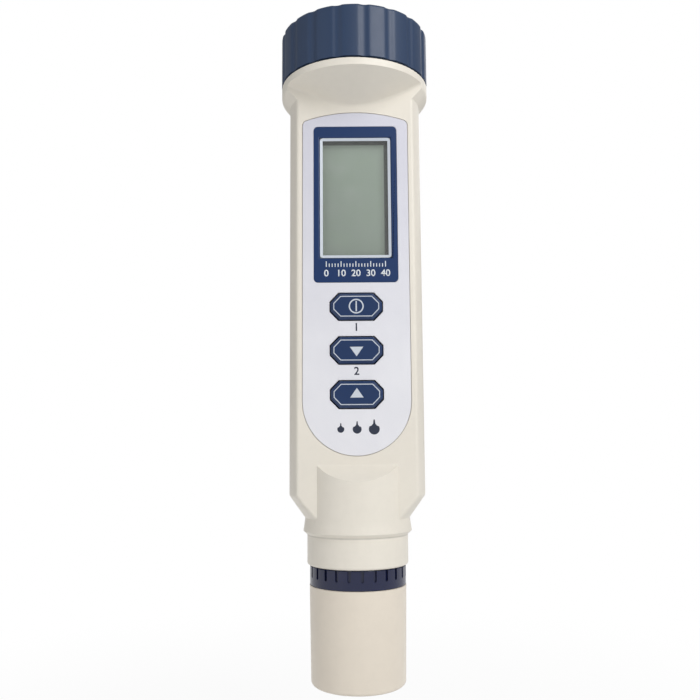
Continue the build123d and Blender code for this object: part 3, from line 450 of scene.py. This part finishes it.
def panel_finish(name, high, low):
    """Silver-printed polycarbonate film, paler towards the foot, with pearly flakes."""
    finish = Finish(name, Coat_Weight=0.25, Coat_Roughness=0.22)
    fade = finish.step(finish.axis("Z"), PANEL_LOW.z / MM + 10.0, PANEL_HIGH.z / MM)
    flake = finish.noise(0.16, roughness=0.8)
    pearl = tuple(min(1.0, part) for part in darker(low, 1.25))
    shade = finish.mix(fade, low, high)
    shade = finish.mix(finish.step(flake, 0.42, 0.8) * 0.35, shade, pearl)
    shade = finish.mix(finish.patches(12.0, 0.3, 0.7) * 0.15, shade, darker(high, 0.9))
    stipple = finish.noise(0.22)
    return finish.set(
        Base_Color=shade,
        Metallic=0.12 + 0.25 * finish.step(flake, 0.5, 0.8),
        Roughness=0.40 + 0.12 * (stipple - 0.5),
        Normal=finish.bump(stipple, 0.006, 0.5),
    )


def printed_finish(name, tint):
    """A printed colour with the slight unevenness of ink."""
    finish = Finish(name)
    spread = finish.noise(0.3, detail=3.0, roughness=0.7)
    return finish.set(
        Base_Color=finish.mix(finish.step(spread, 0.3, 0.8) * 0.25, tint, darker(tint, 0.8)),
        Roughness=0.4 + 0.1 * spread,
        Normal=finish.bump(spread, 0.004, 0.4),
    )


def floor_finish(name):
    """A pale floor that glows white for the camera and keeps a soft shadow near the meter."""
    finish = Finish(name, Roughness=0.8)
    speckle = finish.patches(40.0, 0.3, 0.7)
    finish.set(Base_Color=finish.mix(speckle * 0.02, (0.9, 0.9, 0.9), (0.86, 0.86, 0.86)))
    glow = finish.step(finish.radius(), GLOW_NEAR, GLOW_FAR, FLOOR_GLOW, 1.0)
    share = finish.rays("Camera", "Glossy", "Transmission") * glow
    surface = Signal(finish, finish.shader.outputs[0])
    light = finish.node("ShaderNodeEmission")
    blend = finish.node("ShaderNodeMixShader", inputs={0: share, 1: surface, 2: light})
    blend.feed(finish.tree.nodes["Material Output"].inputs["Surface"])
    return finish.material


FINISHES = {}


def finishes():
    """Every material of the meter, made once."""
    if FINISHES:
        return FINISHES
    case = bpy.context.scene.meter_case
    face = bpy.context.scene.meter_face

    def add(make, name, *values, **options):
        FINISHES[name] = make(name, *values, **options)

    case_seams = ((BARREL_LOW.z / MM, 0.35), (COLLAR_LOW.z / MM, 0.3))
    sleeve_seams = ((SLEEVE_HIGH.z / MM, 0.3), (SLEEVE_LOW.z / MM, 0.4))
    add(moulded, "case_plastic", case.case_colour, 0.46, seams=case_seams)
    add(moulded, "sleeve_plastic", case.sleeve_colour, 0.42, seams=sleeve_seams)
    add(moulded, "cap_plastic", case.cap_colour, 0.44, grain=0.28, depth=0.016)
    add(moulded, "ring_plastic", case.ring_colour, 0.24, grain=0.5, depth=0.006)
    add(moulded, "frame_plastic", face.frame_colour, 0.34, grain=0.2, depth=0.005)
    add(moulded, "key_plastic", face.key_colour, 0.34, grain=0.25, depth=0.008)
    add(moulded, "white_plastic", linear(226, 226, 222), 0.5)
    add(moulded, "black_plastic", linear(34, 34, 36), 0.42)
    add(rubber, "black_rubber", linear(26, 26, 28))
    add(panel_finish, "panel_plastic", face.panel_top, face.panel_foot)
    add(lens_finish, "lens_clear")
    add(display_finish, "display", face.display_colour)
    add(board_finish, "board")
    add(metal, "reflector_film", (0.75, 0.76, 0.74), 0.35)
    add(metal, "steel", (0.56, 0.56, 0.55), 0.24)
    add(metal, "cell_steel", (0.66, 0.65, 0.63), 0.2, stretched=(1.0, 1.0, 6.0))
    add(metal, "gold_contacts", (0.83, 0.58, 0.22), 0.22)
    add(printed_finish, "silver_print", face.print_colour)
    add(printed_finish, "dark_print", face.ink_colour)
    add(printed_finish, "white_print", linear(232, 238, 242))
    return FINISHES


# --- Modelling tools --------------------------------------------------------------------


def activate(piece):
    """Leaves one object selected and active."""
    bpy.ops.object.select_all(action="DESELECT")
    piece.select_set(True)
    bpy.context.view_layer.objects.active = piece


def every(*place):
    """Accepts every vertex, edge or face."""
    return True


@contextmanager
def edit(piece, mode, chosen=every):
    """Edit mode with those vertices, edges or faces selected that chosen accepts."""
    activate(piece)
    bpy.ops.object.mode_set(mode="EDIT")
    bpy.ops.mesh.select_all(action="DESELECT")
    bpy.ops.mesh.select_mode(type=mode)
    bpy.ops.object.mode_set(mode="OBJECT")
    mesh = piece.data
    if mode == "VERT":
        for vertex in mesh.vertices:
            vertex.select = chosen(vertex.co)
    elif mode == "EDGE":
        for edge in mesh.edges:
            edge.select = chosen([mesh.vertices[index].co for index in edge.vertices])
    else:
        for face in mesh.polygons:
            face.select = chosen(face.center, face.normal)
    bpy.ops.object.mode_set(mode="EDIT")
    yield
    bpy.ops.object.mode_set(mode="OBJECT")


def settle():
    """Puts the active object's place, turn and scale into its mesh."""
    bpy.ops.object.transform_apply(location=True, rotation=True, scale=True)


def apply_modifier(piece, kind, **settings):
    """Adds a modifier, sets it and applies it."""
    activate(piece)
    modifier = piece.modifiers.new(kind.lower(), kind)
    for key, value in settings.items():
        setattr(modifier, key, value)
    bpy.ops.object.modifier_apply(modifier=modifier.name)


def soften(piece, width, segments=2):
    """Rounds every sharp edge."""
    apply_modifier(
        piece,
        "BEVEL",
        width=width,
        segments=segments,
        limit_method="ANGLE",
        angle_limit=SMOOTH_ANGLE,
        use_clamp_overlap=True,
        miter_outer="MITER_ARC",
    )


def polish(piece):
    """Smooth shading that keeps flats flat and edges crisp."""
    activate(piece)
    bpy.ops.object.shade_smooth_by_angle(angle=SMOOTH_ANGLE)
    apply_modifier(piece, "WEIGHTED_NORMAL", mode="FACE_AREA", weight=50, keep_sharp=True)


def enter(piece, material, slot, body, *nodes):
    """Gives a finished piece its material and its body, and hides the nodes that it stands for.
    """
    piece.data.materials.clear()
    piece.data.materials.append(finishes()[material])
    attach(piece, body)
    if nodes:
        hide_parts(*nodes)
    return piece


def copy_of(node, name):
    """A welded copy of a frame node, free to be worked on."""
    piece = bpy.data.objects.new(name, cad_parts[node].data.copy())
    bpy.context.scene.collection.objects.link(piece)
    activate(piece)
    if piece.data.has_custom_normals:
        bpy.ops.mesh.customdata_custom_splitnormals_clear()
    with edit(piece, "FACE"):
        bpy.ops.mesh.remove_doubles(threshold=WELD)
    return piece


def dress(node, name, material, slot, body, edge=0.0, segments=2):
    """Finishes a copy of a frame node: joined flats, rounded edges and smooth shading."""
    piece = copy_of(node, name)
    if edge:
        with edit(piece, "FACE"):
            bpy.ops.mesh.dissolve_limited(angle_limit=FLAT_ANGLE)
        soften(piece, edge, segments)
    polish(piece)
    return enter(piece, material, slot, body, node)


def join(piece, *others):
    """Joins other pieces into the first."""
    activate(piece)
    for other in others:
        other.select_set(True)
    bpy.ops.object.join()
    return piece


def add_tube(name, radius, low, high, sides):
    """A cylinder between two levels on the meter's axis."""
    bpy.ops.object.select_all(action="DESELECT")
    bpy.ops.mesh.primitive_cylinder_add(
        vertices=sides, radius=radius, depth=high - low, location=(0, 0, (low + high) / 2)
    )
    piece = bpy.context.object
    piece.name = name
    settle()
    return piece


def resize_selected(across, along):
    """Scales what is selected about the origin, but not in height."""
    bpy.ops.transform.resize(value=(across, along, 1.0), center_override=(0, 0, 0))


def at_level(level):
    """Accepts edges that lie at one level."""
    return lambda points: all(abs(point.z - level) < WELD for point in points)


def upright_angle(point):
    """Degrees round the axis from the front face towards +X."""
    return math.degrees(math.atan2(point.x, -point.y))


# Flat pieces are drawn in millimetres at the origin, facing up, and then stood on the face.


def flat_disc(name, radius, sides, turn=0.0):
    """A flat many-sided disc."""
    bpy.ops.object.select_all(action="DESELECT")
    bpy.ops.mesh.primitive_circle_add(
        vertices=sides, radius=radius * MM, fill_type="NGON", rotation=(0, 0, turn)
    )
    piece = bpy.context.object
    piece.name = name
    settle()
    return piece


def stretch(piece, across, along, chosen=every):
    """Stretches a flat piece, or those of its points that chosen accepts."""
    with edit(piece, "VERT", chosen):
        resize_selected(across, along)
    return piece


def flat_bar(name, width, height):
    """A flat upright bar: a square disc, stretched."""
    square = flat_disc(name, width * math.sqrt(0.5), 4, math.radians(45))
    return stretch(square, 1.0, height / width)


def rim_of(piece, width, fall=0.0):
    """Leaves only a rim of a flat piece, whose inner edge falls by a given depth."""
    with edit(piece, "FACE"):
        bpy.ops.mesh.inset(thickness=width * MM)
        if fall:
            bpy.ops.transform.translate(value=(0, 0, -fall * MM))
        bpy.ops.mesh.delete(type="FACE")
    return piece


def stand(piece, place):
    """Turns a flat piece to face the front and sets it at a place, in metres."""
    activate(piece)
    piece.rotation_euler = (math.radians(90), 0, 0)
    piece.location = place
    settle()
    return piece


def thicken(piece, depth=PRINT_DEPTH):
    """Gives a flat piece that faces the front a thickness, outwards."""
    apply_modifier(piece, "SOLIDIFY", thickness=depth * MM, offset=1.0)
    return piece


# --- Pieces -----------------------------------------------------------------------------


class METER_OT_case(bpy.types.Operator):
    """Barrel and collar: the cream case."""

    bl_idname = "meter.case"
    bl_label = "Case"

    def execute(self, context):
        dress("barrel", "case_barrel", "case_plastic", "case_plastic", "case")
        dress("electrode_collar", "case_collar", "case_plastic", "case_plastic", "case")
        return {"FINISHED"}


class METER_OT_battery_cap(bpy.types.Operator):
    """Fluted battery cap with rounded ribs and its screwed liner."""

    bl_idname = "meter.battery_cap"
    bl_label = "Battery cap"

    sides = 360  # one to each degree
    half_side = 0.5
    groove_centre = 7.05
    groove_depths = ((0, 1.0), (1, 0.93), (2, 0.70), (3, 0.32), (4, 0.06))
    edge_segments = 5
    skin = 0.6 * MM
    roof = 0.5 * MM

    def in_grooves(self, offset, period):
        """Accepts the points that lie offset degrees from the middle of a groove."""

        def chosen(point):
            turn = upright_angle(point) - self.groove_centre
            away = (turn + period / 2) % period - period / 2
            return abs(abs(away) - offset) < self.half_side

        return chosen

    def execute(self, context):
        settings = context.scene.meter_case
        radius = CAP_HIGH.x
        shell = add_tube("fluted_cap", radius, CAP_LOW.z, CAP_HIGH.z, self.sides)
        for offset, share in self.groove_depths:
            factor = 1 - share * settings.flute_depth / radius
            with edit(shell, "VERT", self.in_grooves(offset, 360 / settings.flutes)):
                resize_selected(factor, factor)
        with edit(shell, "EDGE", at_level(CAP_HIGH.z)):
            bpy.ops.mesh.bevel(
                offset=settings.cap_edge, segments=self.edge_segments, affect="EDGES"
            )
        with edit(shell, "FACE", lambda centre, normal: normal.z < -FACING):
            bpy.ops.mesh.delete(type="FACE")
        inside = radius - settings.flute_depth - self.skin

        def is_outer(centre, normal):
            at_side = math.hypot(centre.x, centre.y) > inside
            at_top = centre.z > CAP_HIGH.z - self.roof
            at_foot = normal.z < -FACING and centre.z < CAP_LOW.z + WELD
            return at_side or at_top or at_foot

        liner = copy_of("battery_cap", "cap_liner")
        with edit(liner, "FACE", is_outer):
            bpy.ops.mesh.delete(type="FACE")
        join(shell, liner)
        with edit(shell, "EDGE", at_level(CAP_LOW.z)):
            bpy.ops.mesh.bridge_edge_loops()
        with edit(shell, "FACE"):
            bpy.ops.mesh.normals_make_consistent(inside=False)
        polish(shell)
        enter(shell, "cap_plastic", "cap_plastic", "battery_cap", "battery_cap")
        return {"FINISHED"}


class METER_OT_clamp_ring(bpy.types.Operator):
    """Notched ring that clamps the electrode, and the seal on it."""

    bl_idname = "meter.clamp_ring"
    bl_label = "Clamp ring"

    def execute(self, context):
        dress("lock_ring", "clamp_ring", "ring_plastic", "ring_plastic", "ring")
        dress("sleeve_seal", "sleeve_ring", "black_rubber", "black_rubber", "ring")
        return {"FINISHED"}


class METER_OT_sensor_sleeve(bpy.types.Operator):
    """Sensor cap: a tapered, closed sleeve with a rounded foot."""

    bl_idname = "meter.sensor_sleeve"
    bl_label = "Sensor cap"

    sides = 128
    taper = 0.4 * MM
    wall = 1.2 * MM
    floor = 1.8 * MM
    bore_grip = 9.0 * MM
    bore_draft = 0.45 * MM
    foot_segments = 6
    lip_edge = 0.12 * MM

    def execute(self, context):
        settings = context.scene.meter_case
        rim = SLEEVE_HIGH.x
        top = SLEEVE_HIGH.z
        sleeve = add_tube("sensor_sleeve", rim, SLEEVE_LOW.z, top, self.sides)
        narrower = (rim - self.taper) / rim
        with edit(sleeve, "VERT", lambda point: point.z < WELD):
            resize_selected(narrower, narrower)
        bore = rim - self.wall
        stages = ((self.bore_grip, 0.0), (top - self.floor - self.bore_grip, self.bore_draft))
        with edit(sleeve, "FACE", lambda centre, normal: normal.z > FACING):
            bpy.ops.mesh.inset(thickness=self.wall)
            for depth, draft in stages:
                bpy.ops.mesh.extrude_region_move(
                    TRANSFORM_OT_translate={"value": (0, 0, -depth)}
                )
                resize_selected(1 - draft / bore, 1 - draft / bore)
        with edit(sleeve, "EDGE", at_level(SLEEVE_LOW.z)):
            bpy.ops.mesh.bevel(
                offset=settings.sleeve_edge, segments=self.foot_segments, affect="EDGES"
            )
        soften(sleeve, self.lip_edge)
        polish(sleeve)
        enter(sleeve, "sleeve_plastic", "sleeve_plastic", "sensor_cap", "sensor_cap")
        return {"FINISHED"}


class METER_OT_face(bpy.types.Operator):
    """Front panel, window frame and lens."""

    bl_idname = "meter.face"
    bl_label = "Front face"

    def execute(self, context):
        edge = context.scene.meter_face.plate_edge
        for node, name, material in (
            ("front_panel", "face_plate", "panel_plastic"),
            ("window_frame", "window_surround", "frame_plastic"),
            ("window_lens", "window_pane", "lens_clear"),
        ):
            dress(node, name, material, material, "case", edge, FACE_SEGMENTS)
        return {"FINISHED"}


class METER_OT_display(bpy.types.Operator):
    """Display glass and what holds it."""

    bl_idname = "meter.display"
    bl_label = "Display"

    edge = 0.15 * MM

    def execute(self, context):
        dress("display_glass", "display_cell", "display", "display", "case", self.edge)
        dress(
            "display_frame", "display_holder", "white_plastic", "white_plastic", "case", self.edge
        )
        return {"FINISHED"}


class METER_OT_keys(bpy.types.Operator):
    """Three octagonal keys with a silver line and a sign on each."""

    bl_idname = "meter.keys"
    bl_label = "Keys"

    stroke = 0.34
    ring_radius = 1.95
    ring_sides = 48
    bar_height = 8 * stroke
    arrow_radius = 1.75
    arrow_stretch = (1.15, 0.95)

    def line(self, key, settings):
        """The silver line that follows the key's outline."""
        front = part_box(key)[0].y
        piece = copy_of(key, key + "_line")
        with edit(piece, "FACE", lambda centre, normal: centre.y > front + WELD):
            bpy.ops.mesh.delete(type="FACE")
            bpy.ops.mesh.select_all(action="SELECT")
            bpy.ops.mesh.dissolve_limited(angle_limit=FLAT_ANGLE)
        with edit(piece, "FACE"):
            bpy.ops.mesh.inset(thickness=settings.line_inset - KEY_BEVEL * MM)
            bpy.ops.mesh.select_all(action="INVERT")
            bpy.ops.mesh.delete(type="FACE")
        return thicken(rim_of(piece, settings.line_width / MM))

    def power_sign(self, name):
        """A circle with an upright bar."""
        ring = rim_of(flat_disc(name, self.ring_radius, self.ring_sides), self.stroke)
        return join(ring, flat_bar("bar", self.stroke, self.bar_height))

    def arrow_sign(self, name, turn):
        """An arrow head, which points up where it isn't turned."""
        return stretch(flat_disc(name, self.arrow_radius, 3, turn), *self.arrow_stretch)

    def sign(self, key):
        """The sign on a key, at the middle of its front."""
        name = key + "_sign"
        if key == "key_power":
            piece = self.power_sign(name)
        else:
            piece = self.arrow_sign(name, math.pi if key == "key_down" else 0.0)
        low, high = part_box(key)
        return thicken(stand(piece, (0.0, low.y, (low.z + high.z) / 2)))

    def execute(self, context):
        settings = context.scene.meter_face
        edge = settings.key_edge
        for key in KEYS:
            dress(key, key + "_cap", "key_plastic", "key_plastic", key, edge, FACE_SEGMENTS)
            enter(self.line(key, settings), "silver_print", "panel_plastic", key)
            enter(self.sign(key), "silver_print", "panel_plastic", key)
        return {"FINISHED"}


class METER_OT_marks(bpy.types.Operator):
    """Plain numbers and drops printed on the face, and the bead round the window."""

    bl_idname = "meter.marks"
    bl_label = "Marks"

    letter_weight = 0.04  # added all round each figure

    scale_numbers = ("0", "10", "20", "30", "40")
    scale_pitch = 3.9
    scale_size = 2.5
    scale_fall = 0.9
    ticks_per_number = 5
    tick_width = 0.22
    long_tick = (1.5, 1.6)  # height, and place over the middle of the strip
    short_tick = (0.9, 1.3)

    key_numbers = (("1", "key_power"), ("2", "key_down"))
    key_number_size = 2.9
    key_number_fall = 1.2

    drops = ((-4.2, 0.9), (0.0, 1.15), (4.4, 1.4))  # place across and radius
    drop_fall = 4.6
    drop_sides = 36
    shoulder, shoulder_width = 0.55, 0.62  # shares of the radius
    tip, tip_rise = 0.97, 0.75

    bead_width = 0.75
    bead_corner = 0.8
    bead_segments = 6
    bead_slope = 0.22
    bead_front = 0.26
    bead_depth = 0.08
    bead_edge = 0.03

    def write(self, words, size, place):
        """A number stood on the face."""
        bpy.ops.object.select_all(action="DESELECT")
        bpy.ops.object.text_add()
        text = bpy.context.object.data
        text.body = words
        text.size = size * MM
        text.align_x = "CENTER"
        text.align_y = "CENTER"
        text.offset = self.letter_weight * MM
        bpy.ops.object.convert(target="MESH")
        return stand(bpy.context.object, place)

    def drop(self, radius, place):
        """A drop: a disc with a drawn-out top."""
        piece = flat_disc("drop", radius, self.drop_sides)
        size = radius * MM
        stretch(piece, self.shoulder_width, 1.0, lambda point: point.y > self.shoulder * size)
        with edit(piece, "VERT", lambda point: point.y > self.tip * size):
            bpy.ops.transform.translate(value=(0, self.tip_rise * size, 0))
        return stand(piece, place)

    def together(self, name, parts):
        """Joins printed marks into one piece with a little thickness."""
        piece = join(*parts)
        piece.name = name
        return thicken(piece)

    def scale(self):
        """A plain scale with numbers, in the strip below the window."""
        strip = (FRAME_LOW.z + LENS_LOW.z + LENS_HIDDEN * MM) / 2
        last = len(self.scale_numbers) - 1

        def place(step, rise):
            across = (step - last / 2) * self.scale_pitch * MM
            return (across, FRAME_LOW.y, strip + rise * MM)

        marks = [
            self.write(words, self.scale_size, place(step, -self.scale_fall))
            for step, words in enumerate(self.scale_numbers)
        ]
        for index in range(last * self.ticks_per_number + 1):
            at_number = index % self.ticks_per_number == 0
            height, rise = self.long_tick if at_number else self.short_tick
            tick = flat_bar("tick", self.tick_width, height)
            marks.append(stand(tick, place(index / self.ticks_per_number, rise)))
        return self.together("scale_marks", marks)

    def inked(self):
        """Numbers under two of the keys, and three drops at the foot of the panel."""
        marks = []
        for words, key in self.key_numbers:
            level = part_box(key)[0].z - self.key_number_fall * MM
            marks.append(self.write(words, self.key_number_size, (0.0, PANEL_LOW.y, level)))
        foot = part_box("key_up")[0].z - self.drop_fall * MM
        for across, radius in self.drops:
            marks.append(self.drop(radius, (across * MM, PANEL_LOW.y, foot)))
        return self.together("face_marks", marks)

    def bead(self):
        """The pale sloping bead round the window."""
        half_x = (LENS_HIGH.x - LENS_LOW.x) / 2 - LENS_HIDDEN * MM
        half_z = (LENS_HIGH.z - LENS_LOW.z) / 2 - LENS_HIDDEN * MM
        bpy.ops.object.select_all(action="DESELECT")
        bpy.ops.mesh.primitive_plane_add(size=2.0)
        piece = bpy.context.object
        piece.name = "window_bead"
        piece.scale = (half_x, half_z, 1.0)
        settle()
        with edit(piece, "VERT"):
            bpy.ops.mesh.bevel(
                offset=self.bead_corner * MM, segments=self.bead_segments, affect="VERTICES"
            )
        rim_of(piece, self.bead_width, self.bead_slope)
        level = (LENS_LOW.z + LENS_HIGH.z) / 2
        stand(piece, (0.0, LENS_LOW.y - self.bead_front * MM, level))
        thicken(piece, self.bead_depth)
        soften(piece, self.bead_edge * MM)
        polish(piece)
        return piece

    def execute(self, context):
        enter(self.scale(), "white_print", "panel_plastic", "case")
        enter(self.inked(), "dark_print", "panel_plastic", "case")
        enter(self.bead(), "silver_print", "panel_plastic", "case")
        return {"FINISHED"}


class METER_OT_inner_parts(bpy.types.Operator):
    """Electrode, seals and cells, which show when something is unscrewed."""

    bl_idname = "meter.inner_parts"
    bl_label = "Inner parts"

    riders = {
        "electrode": {
            "electrode_body": "black_plastic",
            "sensing_pins": "steel",
            "thermistor_tip": "steel",
            "contact_pins": "gold_contacts",
            "flange_seal": "black_rubber",
            "plug_seal": "black_rubber",
        },
        "case": {
            "cap_seal": "black_rubber",
            "collar_seal": "black_rubber",
            "button_cells": "cell_steel",
        },
    }

    def execute(self, context):
        for body, nodes in self.riders.items():
            for node, material in nodes.items():
                dress(node, node + "_finished", material, material, body)
        return {"FINISHED"}


class METER_OT_carried(bpy.types.Operator):
    """Materials for the frame nodes that are shown as they are."""

    bl_idname = "meter.carried"
    bl_label = "Carried nodes"

    def execute(self, context):
        for name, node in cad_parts.items():
            if node.hide_render:
                continue
            for index, slot in enumerate(node.material_slots):
                given = slot.material.name.split(".")[0] if slot.material else ""
                if given not in finishes():
                    raise RuntimeError(f"no finish for {name}: {slot.material}")
                node.material_slots[index].material = finishes()[given]
        return {"FINISHED"}


class METER_OT_stage(bpy.types.Operator):
    """Floor, lights and camera."""

    bl_idname = "meter.stage"
    bl_label = "Stage"

    floor_size = 6.0
    floor_level = -30 * MM  # below the sensor cap when it is pulled off
    target = (0.0, 0.0, 0.09)
    lights = (  # name, place, size, and the setting that holds the power
        ("key_light", (0.30, -0.42, 0.42), (0.34, 0.34), "key_power"),
        ("fill_light", (-0.50, -0.40, 0.18), (0.5, 0.6), "fill_power"),
        ("back_light", (0.10, 0.45, 0.45), (0.5, 0.4), "back_power"),
    )
    sensor_width = 36.0
    clip_start = 0.01

    def light(self, name, place, size, power):
        """An area light at a place, turned to the meter."""
        bpy.ops.object.select_all(action="DESELECT")
        bpy.ops.object.light_add(type="AREA", location=place)
        lamp = bpy.context.object
        lamp.name = name
        lamp.data.shape = "RECTANGLE"
        lamp.data.size, lamp.data.size_y = size
        lamp.data.energy = power
        away = Vector(self.target) - Vector(place)
        lamp.rotation_euler = away.to_track_quat("-Z", "Y").to_euler()

    def surroundings(self, context, strength):
        """A white world, full strength to the camera and weaker as a light."""
        world = bpy.data.worlds.new("surroundings")
        context.scene.world = world
        world.use_nodes = True
        nodes = Nodes(world.node_tree)
        background = world.node_tree.nodes["Background"]
        level = nodes.rays("Camera", "Transmission") * (1.0 - strength) + strength
        connect(level, background.inputs["Strength"])
        connect((1.0, 1.0, 1.0), background.inputs["Color"])

    def execute(self, context):
        settings = context.scene.meter_stage
        bpy.ops.object.select_all(action="DESELECT")
        bpy.ops.mesh.primitive_plane_add(size=self.floor_size, location=(0, 0, self.floor_level))
        floor = context.object
        floor.name = "floor"
        floor.data.materials.append(floor_finish("floor"))
        for name, place, size, power in self.lights:
            self.light(name, place, size, getattr(settings, power))
        self.surroundings(context, settings.room_light)
        bpy.ops.object.camera_add(location=settings.camera_place, rotation=settings.camera_turn)
        camera = context.object
        camera.name = "camera"
        camera.data.lens = settings.lens
        camera.data.sensor_width = self.sensor_width
        camera.data.clip_start = self.clip_start
        camera.rotation_euler.rotate_axis("Z", settings.camera_roll)
        context.scene.camera = camera
        context.scene.view_settings.view_transform = "Standard"
        return {"FINISHED"}


class METER_PT_sidebar(bpy.types.Panel):
    """Lists the meter's pieces and settings in the sidebar."""

    bl_idname = "METER_PT_sidebar"
    bl_label = "Salinity meter"
    bl_space_type = "VIEW_3D"
    bl_region_type = "UI"
    bl_category = "Meter"

    def draw(self, context):
        scene = context.scene
        for operator in OPERATORS:
            self.layout.operator(operator.bl_idname)
        for group in (scene.meter_case, scene.meter_face, scene.meter_stage):
            for key in group.bl_rna.properties.keys():
                if key not in ("rna_type", "name"):
                    self.layout.prop(group, key)


OPERATORS = (
    METER_OT_stage,
    METER_OT_case,
    METER_OT_battery_cap,
    METER_OT_clamp_ring,
    METER_OT_sensor_sleeve,
    METER_OT_face,
    METER_OT_display,
    METER_OT_keys,
    METER_OT_marks,
    METER_OT_inner_parts,
    METER_OT_carried,
)
GROUPS = (CaseSettings, FaceSettings, StageSettings)


def register():
    """Adds the settings, the operators and the sidebar panel to Blender."""
    for item in (*GROUPS, *OPERATORS, METER_PT_sidebar):
        bpy.utils.register_class(item)
    bpy.types.Scene.meter_case = bpy.props.PointerProperty(type=CaseSettings)
    bpy.types.Scene.meter_face = bpy.props.PointerProperty(type=FaceSettings)
    bpy.types.Scene.meter_stage = bpy.props.PointerProperty(type=StageSettings)


def unregister():
    """Takes them out again."""
    del bpy.types.Scene.meter_stage
    del bpy.types.Scene.meter_face
    del bpy.types.Scene.meter_case
    for item in reversed((*GROUPS, *OPERATORS, METER_PT_sidebar)):
        bpy.utils.unregister_class(item)


def run(operator):
    """Calls one of the operators above by its name."""
    group, name = operator.bl_idname.split(".")
    getattr(getattr(bpy.ops, group), name)()


def main():
    """Builds the whole meter."""
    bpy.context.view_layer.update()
    register()
    for operator in OPERATORS:
        run(operator)


if __name__ == "__main__":
    main()
